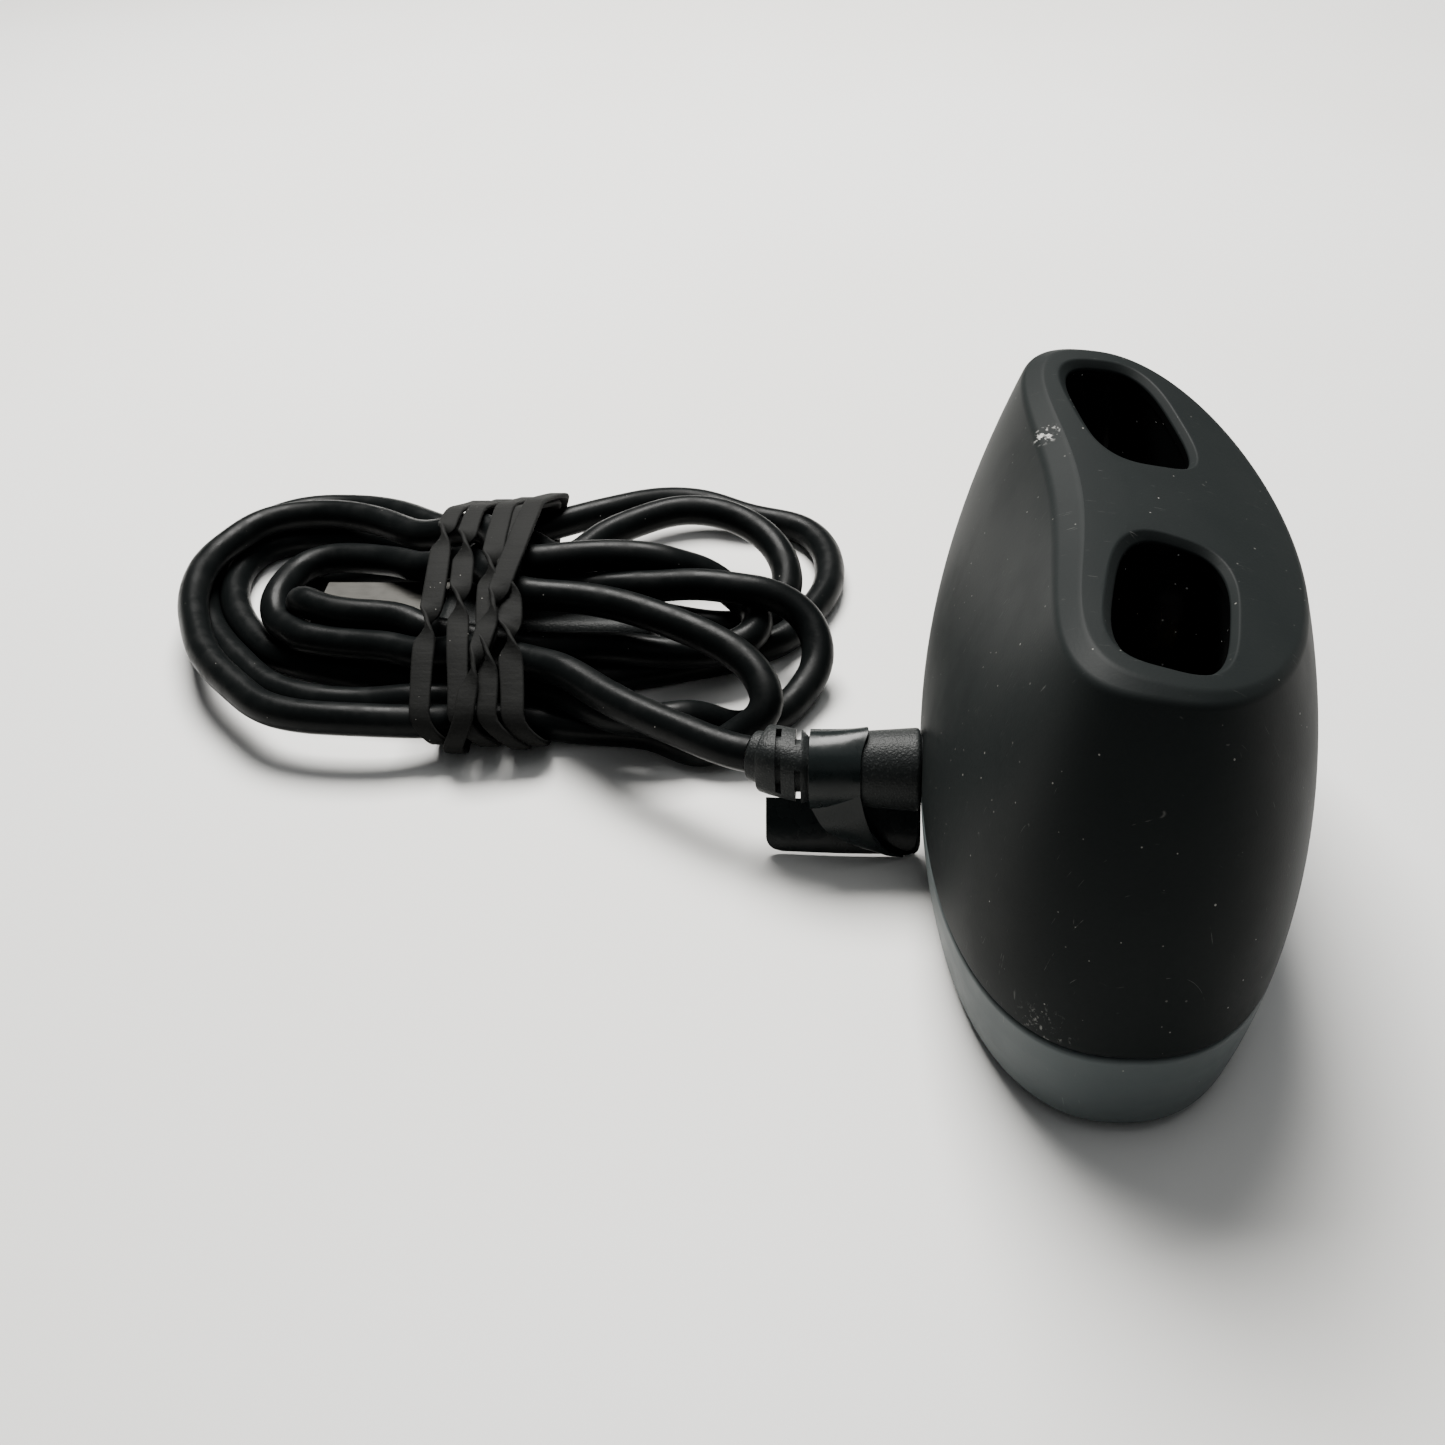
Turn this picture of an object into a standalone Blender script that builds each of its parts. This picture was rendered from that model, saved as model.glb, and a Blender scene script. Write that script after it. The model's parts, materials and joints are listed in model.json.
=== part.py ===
"""A two-bay charging dock with its plug, its lead and the tied hank of the rest of its cord.

Metres, +Z up. X runs along the dock, -Y is its front and +Y the side where the lead leaves.
The origin lies on the surface that the dock stands on, under the middle of the dock's box.
Run it with: blender --background --python part.py
"""
import math

import bpy
import bmesh
from mathutils import Matrix, Vector

MM = 0.001
GAP = 0.3                       # between pieces that touch, in mm; every length below is in mm
SEGMENTS = 52                   # points round the dock's outline

# Outer form: each rib of the wall is a quadratic Bezier curve in three outlines (foot, belly pull, rim).
FOOT_HALF_X, FOOT_HALF_Y, FOOT_POWER, FOOT_Y, FOOT_Z = 44.0, 17.7, 2.3, 1.37, 0.8
BELLY_HALF_X, BELLY_HALF_Y, BELLY_POWER, BELLY_Y, BELLY_Z = 47.6, 23.7, 2.5, 0.47, 21.6
RIM_HALF_X, RIM_FRONT, RIM_BACK, RIM_Y = 36.2, 17.1, 13.1, -0.93
RIM_FRONT_POWER, RIM_BACK_POWER = 2.0, 3.15
RIM_FLAT = 4.6                  # how far the middle of the back ridge is drawn in
TOP_Z, TOP_SLOPE, TOP_CROWN_RADIUS = 47.75, 0.194, 58.0
EDGE_FRONT, EDGE_BACK = 0.35, 2.9           # width of the bevel along the rim, front and back
DROP_FRONT, DROP_BACK = 0.25, 1.25          # how far that bevel falls

WALL = 2.0
CEILING = 2.2
SEAM_Z = 11.2                   # between the base band and the upper shell
LIP = 0.9                       # the band's inner lip, which rises inside the shell
LIP_TOP = 12.6

# Bays: two mirrored, slightly turned superellipse openings with a bevelled edge.
BAY_X, BAY_Y, BAY_TURN = 19.7, -2.33, math.radians(10)
BAY_HALF_X, BAY_HALF_Y, BAY_POWER = 12.5, 6.3, 3.1
BAY_BEVEL = 0.8
WELL_FLOOR, WELL_BASE = 24.0, 22.5
WELL_WALL, WELL_FLANGE = 1.2, 1.9           # both measured outwards from the well's own inside
BAY_SEGMENTS = 36

# Sprung contacts: two in each bay.
PIN_OFFSET = 5.0
PIN_R, PIN_HEAD_R, PIN_TIP_Z = 0.8, 1.1, 25.8
BLOCK_SIZE, BLOCK_Z = (18.0, 7.0), (15.4, WELL_BASE - GAP)
SHOULDER_Z = 21.2               # where a contact's head meets the top of its chamber
CHAMBER_R, CHAMBER_Z = 1.4, 16.0
SPRING_R, SPRING_WIRE, SPRING_TURNS = 0.95, 0.2, 4
CONTACT_BOARD = (20.0, 9.0, 13.5, 15.1)     # length, width, underside, top
RIBBON_WIDTH, RIBBON_THICKNESS = 5.0, 0.5

# Base.
PAD_Z = (0.0, 1.0)
BAND_BOTTOM = 0.9
PLATE_Z = (1.3, 2.9)
SCREW_X, SCREW_Y = 35.0, 4.5    # from the plate's middle
BOSS_R, BOSS_Z = 2.6, (4.6, 19.0)
SCREW_R, SCREW_HEAD_R, SCREW_HEAD_Z = 1.0, 2.1, (1.3, 2.7)
CLEAR_R = SCREW_R + GAP
BALLAST = (40.0, 16.0, 3.2, 5.2)
BOARD_HALF_X, BOARD_Y, BOARD_Z = 28.0, (-9.5, 14.5), (6.1, 7.7)
POST_X, POST_Y, POST_R = 24.0, -5.5, 2.3

# Power socket and plug, on one axis along +Y.
AXIS_Z = 11.1
WALL_BACK_Y = 20.2              # the wall's outside at the socket
PORT_R = 4.1
JACK_COLLAR_R, JACK_BORE_R, JACK_FACE_Y = 3.6, 2.2, 19.4
JACK_BOX = (8.4, 5.5, 16.7, 8.0, 14.4)      # width, front, back, underside, top
JACK_PIN_R = 0.5
BARREL_R, BARREL_BORE_R, BARREL_Y = 1.9, 0.9, (9.6, 20.3)
GRIP_Y = (20.6, 27.2, 33.3)     # wall end, step to the neck, cord end
GRIP_R = (4.9, 4.45, 4.1)       # wall end, before the step, neck
RELIEF_START, RELIEF_END = Vector((0.15, 33.6, 11.1)), Vector((2.2, 40.0, 11.3))
RELIEF_R = (4.0, 3.5)
LABEL_R, LABEL_THICKNESS, LABEL_Y = 4.5, 0.5, (27.4, 33.1)
FLAG_Y, FLAG_FOOT, FLAG_TOP = (21.2, 38.4), (-2.6, 0.3), (0.9, 5.8)

# Cord.
CORD_R = 2.2
LEAD_ROUTE = [(2.31, 40.35, 11.31), (2.85, 42.0, 11.3), (4.3, 43.9, 11.05), (6.4, 45.8, 10.6),
              (8.9, 47.9, 10.0), (11.3, 50.1, 9.3)]
HANK_MIDDLE_X, HANK_HALF_X, HANK_Y, HANK_TOP = 43.7, 28.0, (29.5, 124.0), 16.0
HANK_ENDS = (0.6, 2.5, 6.0, 11.0, 18.0, HANK_HALF_X)        # stations of its round ends
TIE_Y, TIE_THICKNESS, TIE_DEPTH = (73.0, 88.0), 0.9, 1.4
USB_X, USB_Z = 42.5, 4.7
USB_GRIP = (15.6, 56.0, 86.2, 6.4)          # width, front, back, height
USB_SHELL = (12.0, 86.5, 104.5, 4.5)
USB_SHELL_WALL = 0.4
USB_CLEARANCE = (0.8, 4.0, 0.4)             # hollow in the hank round the plug: sides, ends, above


# ---------------------------------------------------------------- materials
def material(name, color, roughness, metallic=0.0):
    mat = bpy.data.materials.get(name) or bpy.data.materials.new(name)
    mat.use_nodes = True
    shader = mat.node_tree.nodes["Principled BSDF"]
    shader.inputs["Base Color"].default_value = (*color, 1.0)
    shader.inputs["Roughness"].default_value = roughness
    shader.inputs["Metallic"].default_value = metallic
    mat.diffuse_color = (*color, 1.0)
    return mat


def make_materials():
    return {
        "shell": material("shell_plastic", (0.040, 0.042, 0.043), 0.38),
        "band": material("band_plastic", (0.070, 0.085, 0.085), 0.45),
        "well": material("well_plastic", (0.006, 0.007, 0.007), 0.12),
        "base": material("base_plastic", (0.015, 0.016, 0.016), 0.60),
        "rubber": material("foot_rubber", (0.010, 0.010, 0.010), 0.85),
        "board": material("circuit_board", (0.012, 0.110, 0.045), 0.45),
        "block": material("contact_plastic", (0.020, 0.020, 0.020), 0.50),
        "gold": material("contact_metal", (0.800, 0.560, 0.220), 0.25, 1.0),
        "steel": material("steel", (0.560, 0.570, 0.580), 0.32, 1.0),
        "ribbon": material("ribbon_plastic", (0.420, 0.420, 0.400), 0.50),
        "grip": material("plug_plastic", (0.018, 0.020, 0.020), 0.62),
        "label": material("label_film", (0.016, 0.024, 0.024), 0.22),
        "cord": material("cord_jacket", (0.008, 0.010, 0.011), 0.40),
        "tie": material("tie_rubber", (0.022, 0.023, 0.022), 0.80),
    }


# ---------------------------------------------------------------- mesh helpers
def place(name, mesh, mat, sharp=math.radians(35)):
    obj = bpy.data.objects.new(name, mesh)
    bpy.context.scene.collection.objects.link(obj)
    mesh.materials.clear()
    mesh.materials.append(mat)
    mesh.shade_smooth()
    mesh.set_sharp_from_angle(angle=sharp)
    return obj


def loft(name, rings, mat, ring_closed=False):
    """A closed body through rings of equal count, given in mm: capped at both ends, or joined end to start."""
    bm = bmesh.new()
    rows = [[bm.verts.new(Vector(point) * MM) for point in ring] for ring in rings]
    pairs = list(zip(rows, rows[1:]))
    if ring_closed:
        pairs.append((rows[-1], rows[0]))
    for lower, upper in pairs:
        for i in range(len(lower)):
            j = (i + 1) % len(lower)
            bm.faces.new((lower[i], lower[j], upper[j], upper[i]))
    if not ring_closed:
        bm.faces.new(list(reversed(rows[0])))
        bm.faces.new(rows[-1])
    bmesh.ops.recalc_face_normals(bm, faces=bm.faces)
    mesh = bpy.data.meshes.new(name)
    bm.to_mesh(mesh)
    bm.free()
    return place(name, mesh, mat)


def turned(name, profile, mat, axis="Z", at=(0, 0, 0), sides=16):
    """A body turned from (radius, height) pairs: open profiles are capped, a closed one is a ring."""
    closed = profile[0] == profile[-1]
    rings = []
    for radius, height in profile[:-1] if closed else profile:
        ring = []
        for i in range(sides):
            angle = 2 * math.pi * (i + 0.5) / sides
            across, up = radius * math.cos(angle), radius * math.sin(angle)
            point = (across, up, height) if axis == "Z" else (across, height, up)
            ring.append(Vector(point) + Vector(at))
        rings.append(ring)
    return loft(name, rings, mat, ring_closed=closed)


def rounded_rectangle(half_x, half_y, radius, corner=4):
    points = []
    for quarter in range(4):
        middle = math.radians(90 * quarter)
        sx = 1 if quarter in (0, 3) else -1
        sy = 1 if quarter in (0, 1) else -1
        for i in range(corner + 1):
            angle = middle + math.radians(90) * i / corner
            points.append((sx * (half_x - radius) + radius * math.cos(angle),
                           sy * (half_y - radius) + radius * math.sin(angle)))
    return points


def slab(name, half_x, half_y, radius, low, high, mat, at=(0, 0), turn=0.0, corner=4):
    """A plate with rounded corners, standing between two heights."""
    cos, sin = math.cos(turn), math.sin(turn)
    rings = []
    for z in (low, high):
        rings.append([(at[0] + x * cos - y * sin, at[1] + x * sin + y * cos, z)
                      for x, y in rounded_rectangle(half_x, half_y, radius, corner)])
    return loft(name, rings, mat)


def block(name, low, high, mat):
    middle = [(a + b) / 2 for a, b in zip(low, high)]
    half = [(b - a) / 2 for a, b in zip(low, high)]
    corners = [(-1, -1), (1, -1), (1, 1), (-1, 1)]
    rings = [[(middle[0] + half[0] * x, middle[1] + half[1] * y, z) for x, y in corners]
             for z in (low[2], high[2])]
    return loft(name, rings, mat)


def combine(target, tool, operation):
    """Applies a Boolean with the exact solver, and removes the tool."""
    modifier = target.modifiers.new(operation.lower(), "BOOLEAN")
    modifier.operation = operation
    modifier.solver = "EXACT"
    modifier.object = tool
    bpy.context.view_layer.update()
    evaluated = target.evaluated_get(bpy.context.evaluated_depsgraph_get())
    mesh = bpy.data.meshes.new_from_object(evaluated)
    target.modifiers.clear()
    old = target.data
    target.data = mesh
    bpy.data.meshes.remove(old)
    bpy.data.objects.remove(tool)
    mesh.set_sharp_from_angle(angle=math.radians(35))


def cut(target, tool):
    combine(target, tool, "DIFFERENCE")


def join(target, tool):
    combine(target, tool, "UNION")


def tube(name, points, radius, mat, resolution=2):
    """A round cord or wire along points, as a curve with a bevel and filled caps."""
    curve = bpy.data.curves.new(name, "CURVE")
    curve.dimensions = "3D"
    curve.bevel_depth = radius * MM
    curve.bevel_resolution = resolution
    curve.use_fill_caps = True
    spline = curve.splines.new("POLY")
    spline.points.add(len(points) - 1)
    for item, point in zip(spline.points, points):
        item.co = (*(Vector(point) * MM), 1.0)
    curve.materials.append(mat)
    obj = bpy.data.objects.new(name, curve)
    bpy.context.scene.collection.objects.link(obj)
    return obj


def smooth_route(route, step):
    """Points about a step apart along a Catmull-Rom curve through the route's points."""
    route = [Vector(point) for point in route]
    padded = [2 * route[0] - route[1]] + route + [2 * route[-1] - route[-2]]
    points = [route[0]]
    for a, b, c, d in zip(padded, padded[1:], padded[2:], padded[3:]):
        count = max(1, round((c - b).length / step))
        for i in range(1, count + 1):
            t = i / count
            points.append(0.5 * (2 * b + (c - a) * t + (2 * a - 5 * b + 4 * c - d) * t ** 2
                                 + (3 * b - a - 3 * c + d) * t ** 3))
    return points


# ---------------------------------------------------------------- the dock's outer form
def superellipse(angle, power):
    c, s = math.cos(angle), math.sin(angle)
    reach = (abs(c) ** power + abs(s) ** power) ** (-1 / power)
    return c * reach, s * reach


def top_height(x, y):
    return TOP_Z + TOP_SLOPE * y - y * y / (2 * TOP_CROWN_RADIUS)


def rim_point(angle, inset):
    """The rim's outline: an ellipse at the front and ends, and a flatter, drawn-in ridge at the back."""
    at_back = math.sin(angle) > 0
    x, y = superellipse(angle, RIM_BACK_POWER if at_back else RIM_FRONT_POWER)
    drawn_in = RIM_FLAT * max(0.0, 1 - x * x) ** 1.5 if at_back else 0.0
    depth = (RIM_BACK if at_back else RIM_FRONT) - inset
    return (RIM_HALF_X - inset) * x, RIM_Y + depth * y - drawn_in


def rearward(angle):
    return 0.5 + 0.5 * math.sin(angle)


def wall_curve(angle, inset):
    """The three control points of the wall's rib at this angle."""
    fx, fy = superellipse(angle, FOOT_POWER)
    bx, by = superellipse(angle, BELLY_POWER)
    rx, ry = rim_point(angle, inset)
    drop = CEILING + DROP_FRONT if inset else DROP_FRONT + (DROP_BACK - DROP_FRONT) * rearward(angle)
    foot = Vector(((FOOT_HALF_X - inset) * fx, FOOT_Y + (FOOT_HALF_Y - inset) * fy, FOOT_Z))
    belly = Vector(((BELLY_HALF_X - inset) * bx, BELLY_Y + (BELLY_HALF_Y - inset) * by, BELLY_Z))
    return foot, belly, Vector((rx, ry, top_height(rx, ry) - drop))


def wall_point(angle, t, inset=0.0):
    foot, belly, rim = wall_curve(angle, inset)
    return (1 - t) ** 2 * foot + 2 * t * (1 - t) * belly + t ** 2 * rim


def wall_parameter(angle, height, inset=0.0):
    foot, belly, rim = (point.z for point in wall_curve(angle, inset))
    a, b, c = foot - 2 * belly + rim, 2 * (belly - foot), height - foot
    return 2 * c / (b + math.sqrt(b * b + 4 * a * c))


def angles():
    return [2 * math.pi * i / SEGMENTS for i in range(SEGMENTS)]


def level_ring(inset, height, at_height=None):
    """The wall's outline, drawn in by inset, at one height; at_height places it at another."""
    ring = []
    for angle in angles():
        point = wall_point(angle, wall_parameter(angle, height, inset), inset)
        point.z = height if at_height is None else at_height
        ring.append(point)
    return ring


def wall_rings(inset, start, fractions):
    rings = []
    for k in fractions:
        ring = []
        for angle in angles():
            t = wall_parameter(angle, start, inset)
            ring.append(wall_point(angle, t + (1 - t) * k, inset))
        rings.append(ring)
    return rings


def crown_ring(inset_front, inset_back, shrink, drop):
    """A ring on the crowned top, shrunk towards its middle."""
    ring = []
    for angle in angles():
        inset = inset_front + (inset_back - inset_front) * rearward(angle)
        x, y = rim_point(angle, inset)
        x, y = x * shrink, RIM_Y + (y - RIM_Y) * shrink
        ring.append(Vector((x, y, top_height(x, y) - drop)))
    return ring


# ---------------------------------------------------------------- bays and their wells
def bay_frame(side, x, y):
    """A bay's own x (outwards) and y (backwards) in the dock's plan."""
    cos, sin = math.cos(BAY_TURN), math.sin(BAY_TURN)
    return side * (BAY_X + x * cos - y * sin), BAY_Y + x * sin + y * cos


def bay_outline(side, outset):
    points = []
    for i in range(BAY_SEGMENTS):
        x, y = superellipse(2 * math.pi * i / BAY_SEGMENTS, BAY_POWER)
        points.append(bay_frame(side, (BAY_HALF_X + outset) * x, (BAY_HALF_Y + outset) * y))
    return points


def bay_ring(side, outset, drop=None, height=None):
    """A bay's outline at a distance below the crowned top, or at a height."""
    return [(x, y, top_height(x, y) - drop if height is None else height)
            for x, y in bay_outline(side, outset)]


def bay_cutter(side, mats):
    rings = [bay_ring(side, -BAY_BEVEL, drop=6), bay_ring(side, -BAY_BEVEL, drop=BAY_BEVEL * 1.1),
             bay_ring(side, 0.0, drop=0.0), bay_ring(side, 1.0, drop=-1.1)]
    return loft("bay_cutter", rings, mats["well"])


def make_well(side, mats):
    inner = 0.1 - BAY_BEVEL
    under = CEILING + GAP
    rings = [
        bay_ring(side, inner - 1.6, height=WELL_FLOOR), bay_ring(side, inner - 0.4, height=WELL_FLOOR + 0.5),
        bay_ring(side, inner, height=WELL_FLOOR + 1.8), bay_ring(side, inner, drop=under),
        bay_ring(side, inner + WELL_FLANGE, drop=under),
        bay_ring(side, inner + WELL_FLANGE, drop=under + 1.1),
        bay_ring(side, inner + WELL_WALL, drop=under + 1.6),
        bay_ring(side, inner + WELL_WALL, height=WELL_BASE + 0.8),
        bay_ring(side, inner + WELL_WALL - 0.8, height=WELL_BASE),
    ]
    well = loft("left_well" if side < 0 else "right_well", rings, mats["well"])
    for where in (-1, 1):
        x, y = bay_frame(side, where * PIN_OFFSET, 0)
        hole = [(PIN_R + GAP, WELL_BASE - 1), (PIN_R + GAP, WELL_FLOOR + 1)]
        cut(well, turned("hole", hole, mats["well"], at=(x, y, 0)))
    return well


# ---------------------------------------------------------------- casing
def make_upper_shell(mats):
    bottom = SEAM_Z + GAP / 2
    inner = wall_rings(WALL, bottom, (0, 0.3, 0.6, 0.85, 1.0))
    ceiling = [crown_ring(WALL + EDGE_FRONT, WALL + EDGE_BACK * 0.5, k, CEILING) for k in (0.12, 0.6, 1.0)]
    outer = wall_rings(0.0, bottom, (0, 0.03, 0.15, 0.3, 0.45, 0.6, 0.75, 0.9, 1.0))
    outer[0] = level_ring(0.4, bottom)
    crown = [crown_ring(EDGE_FRONT, EDGE_BACK, k, 0.0) for k in (1.0, 0.7, 0.4, 0.12)]
    shell = loft("upper_shell", ceiling + inner[::-1] + outer + crown, mats["shell"])
    cut(shell, port_cutter(mats))
    for side in (-1, 1):
        cut(shell, bay_cutter(side, mats))
    for x, y in screw_places():
        add_boss(shell, x, y, mats)
    return shell


def add_boss(shell, x, y, mats):
    """A screw boss on a rib that grows out of the end wall."""
    low, high = BOSS_Z
    half_x, half_y = FOOT_HALF_X + 0.8, FOOT_HALF_Y + 2.6
    wall_x = half_x * (1 - abs((y - FOOT_Y) / half_y) ** FOOT_POWER) ** (1 / FOOT_POWER) - WALL / 2
    ends = sorted((x, math.copysign(wall_x, x)))
    boss = turned("boss", [(BOSS_R, low), (BOSS_R, high)], mats["shell"], at=(x, y, 0))
    join(boss, block("rib", (ends[0], y - 0.8, LIP_TOP + 0.8), (ends[1], y + 0.8, high - 1), mats["shell"]))
    cut(boss, turned("pilot", [(CLEAR_R, low - 1), (CLEAR_R, low + 7)], mats["shell"], at=(x, y, 0)))
    join(shell, boss)


def port_cutter(mats):
    profile = [(PORT_R, JACK_BOX[2] - 3), (PORT_R, WALL_BACK_Y + 3)]
    return turned("port_cutter", profile, mats["shell"], axis="Y", at=(0, 0, AXIS_Z), sides=24)


def make_base_band(mats):
    top = SEAM_Z - GAP / 2
    lip = WALL + GAP
    profile = [(WALL, BAND_BOTTOM), (0.5, BAND_BOTTOM), (0.0, BAND_BOTTOM + 0.6), (0.0, 4.5), (0.0, 8.0),
               (0.0, top - 0.4), (0.4, top), (lip, top), (lip, LIP_TOP - 0.2), (lip + 0.2, LIP_TOP),
               (lip + LIP, LIP_TOP), (lip + LIP, 9.0), (WALL, 7.8)]
    band = loft("base_band", [level_ring(*pair) for pair in profile], mats["band"], ring_closed=True)
    cut(band, port_cutter(mats))
    return band


def screw_places():
    return [(side * SCREW_X, FOOT_Y + end * SCREW_Y) for side in (-1, 1) for end in (-1, 1)]


def make_base_plate(mats):
    low, high = PLATE_Z
    edge = WALL + GAP
    plate = loft("base_plate", [level_ring(edge, low), level_ring(edge, high)], mats["base"])
    for x, y in screw_places():
        join(plate, turned("pad", [(3.7, low + 0.4), (3.7, BOSS_Z[0] - GAP)], mats["base"], at=(x, y, 0)))
        steps = [(SCREW_HEAD_R + GAP, low - 1), (SCREW_HEAD_R + GAP, SCREW_HEAD_Z[1] + GAP),
                 (CLEAR_R, SCREW_HEAD_Z[1] + GAP), (CLEAR_R, BOSS_Z[0] + 1)]
        cut(plate, turned("counterbore", steps, mats["base"], at=(x, y, 0)))
    for side in (-1, 1):
        post = [(POST_R, low + 0.4), (POST_R, BOARD_Z[0] - GAP)]
        join(plate, turned("post", post, mats["base"], at=(side * POST_X, POST_Y, 0)))
        pilot = [(CLEAR_R, high - 0.8), (CLEAR_R, BOARD_Z[0] + 1)]
        cut(plate, turned("pilot", pilot, mats["base"], at=(side * POST_X, POST_Y, 0)))
    return plate


def make_foot_pad(mats):
    outer, inner = WALL + 2 * GAP, WALL + 11.0
    low, high = PAD_Z
    profile = [(inner, low), (outer + 0.3, low), (outer, low + 0.3), (outer, high), (inner, high)]
    rings = [level_ring(inset, high, z) for inset, z in profile]
    pad = loft("foot_pad", rings, mats["rubber"], ring_closed=True)
    for x, y in screw_places():
        cut(pad, turned("hole", [(3.0, low - 1), (3.0, high + 1)], mats["rubber"], at=(x, y, 0)))
    return pad


def make_screw(name, x, y, head, shaft_end, mats, head_radius=SCREW_HEAD_R):
    """A pan-head screw with a cross recess; its shaft runs from its head towards shaft_end."""
    start, finish = head
    up = 1 if shaft_end > start else -1
    profile = [(head_radius * 0.8, start), (head_radius, start + up * 0.4), (head_radius, finish),
               (SCREW_R, finish), (SCREW_R, shaft_end - up * 0.8), (SCREW_R * 0.3, shaft_end)]
    screw = turned(name, profile, mats["steel"], at=(x, y, 0))
    depth = sorted((start - up, start + up * 0.7))
    for long_x, long_y in ((1.2, 0.25), (0.25, 1.2)):
        slot = block("slot", (x - long_x, y - long_y, depth[0]), (x + long_x, y + long_y, depth[1]),
                     mats["steel"])
        cut(screw, slot)
    return screw


def make_screws(mats):
    for number, (x, y) in enumerate(screw_places(), 1):
        make_screw(f"base_screw_{number}", x, y, SCREW_HEAD_Z, BOSS_Z[0] + 6, mats)
    for name, side in (("board_screw_left", -1), ("board_screw_right", 1)):
        head = (BOARD_Z[1] + GAP + 1.3, BOARD_Z[1] + GAP)
        make_screw(name, side * POST_X, POST_Y, head, PLATE_Z[1], mats, head_radius=1.9)


# ---------------------------------------------------------------- contacts
def make_contacts(side, mats):
    word = "left" if side < 0 else "right"
    turn = side * BAY_TURN
    middle = bay_frame(side, 0, 0)
    carrier = slab(f"{word}_contact_block", BLOCK_SIZE[0] / 2, BLOCK_SIZE[1] / 2, 0.8, *BLOCK_Z,
                   mats["block"], at=middle, turn=turn, corner=2)
    length, width, low, high = CONTACT_BOARD
    slab(f"{word}_contact_board", length / 2, width / 2, 0.6, low, high, mats["board"], at=middle, turn=turn,
         corner=2)
    for where, letter in ((-1, "inner"), (1, "outer")):
        x, y = bay_frame(side, where * PIN_OFFSET, 0)
        chamber = [(CHAMBER_R, CHAMBER_Z), (CHAMBER_R, SHOULDER_Z), (PIN_R + GAP, SHOULDER_Z),
                   (PIN_R + GAP, BLOCK_Z[1] + 1)]
        cut(carrier, turned("chamber", chamber, mats["block"], at=(x, y, 0)))
        head_top = SHOULDER_Z - GAP
        pin = [(PIN_HEAD_R, head_top - 0.8), (PIN_HEAD_R, head_top), (PIN_R, head_top),
               (PIN_R, PIN_TIP_Z - 0.6), (PIN_R * 0.75, PIN_TIP_Z - 0.15), (PIN_R * 0.35, PIN_TIP_Z)]
        turned(f"{word}_pin_{letter}", pin, mats["gold"], at=(x, y, 0), sides=12)
        make_spring(f"{word}_spring_{letter}", x, y, CHAMBER_Z + GAP, head_top - 0.8 - GAP, mats)


def make_spring(name, x, y, low, high, mats):
    per_turn = 8
    count = SPRING_TURNS * per_turn
    bottom, rise = low + SPRING_WIRE, high - low - 2 * SPRING_WIRE
    points = []
    for i in range(count + 1):
        angle = 2 * math.pi * i / per_turn
        points.append((x + SPRING_R * math.cos(angle), y + SPRING_R * math.sin(angle),
                       bottom + rise * i / count))
    return tube(name, points, SPRING_WIRE, mats["steel"], resolution=1)


def make_ribbon(side, mats):
    """A flat cable from a contact board's inner end down to the main board."""
    edge = BAY_X - CONTACT_BOARD[0] / 2 * math.cos(BAY_TURN)
    high, low = (CONTACT_BOARD[2] + CONTACT_BOARD[3]) / 2, BOARD_Z[1] + GAP + RIBBON_THICKNESS / 2
    path = smooth_route([(edge - 1.0, 0, high), (edge - 2.4, 0, high - 0.5), (edge - 3.0, 0, high - 2.2),
                         (edge - 2.6, 0, low + 1.0), (edge - 0.9, 0, low), (edge + 1.5, 0, low)], 0.9)
    rings = []
    for before, here, after in zip([path[0]] + path[:-1], path, path[1:] + [path[-1]]):
        along = (after - before).normalized()
        across = Vector((-along.z, 0, along.x)) * RIBBON_THICKNESS / 2
        low_y, high_y = BAY_Y - 3 - RIBBON_WIDTH / 2, BAY_Y - 3 + RIBBON_WIDTH / 2
        corners = [here - across, here + across]
        ring = [(corners[0].x, low_y, corners[0].z), (corners[0].x, high_y, corners[0].z),
                (corners[1].x, high_y, corners[1].z), (corners[1].x, low_y, corners[1].z)]
        rings.append([(side * px, py, pz) for px, py, pz in ring])
    return loft("left_ribbon" if side < 0 else "right_ribbon", rings, mats["ribbon"])


# ---------------------------------------------------------------- inside the base
def make_main_board(mats):
    low_y, high_y = BOARD_Y
    board = slab("main_board", BOARD_HALF_X, (high_y - low_y) / 2, 4.0, *BOARD_Z, mats["board"],
                 at=(0, (low_y + high_y) / 2))
    for side in (-1, 1):
        hole = [(CLEAR_R, BOARD_Z[0] - 1), (CLEAR_R, BOARD_Z[1] + 1)]
        cut(board, turned("hole", hole, mats["board"], at=(side * POST_X, POST_Y, 0)))
    return board


def make_board_parts(mats):
    top = BOARD_Z[1] + GAP
    for word, side in (("left", -1), ("right", 1)):
        slab(f"{word}_charge_chip", 2.5, 2.5, 0.3, top, top + 1.2, mats["block"], at=(side * 15, 6), corner=1)
    profile = [(2.2, top), (2.4, top + 0.3), (2.4, top + 4.3), (2.1, top + 4.6)]
    turned("capacitor", profile, mats["steel"], at=(-21.5, 9.0, 0))
    slab("inductor", 3.0, 3.0, 1.0, top, top + 2.8, mats["block"], at=(21.5, 9.0), corner=2)


def make_ballast(mats):
    length, width, low, high = BALLAST
    return slab("ballast_plate", length / 2, width / 2, 3.0, low, high, mats["steel"], at=(0, FOOT_Y))


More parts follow.
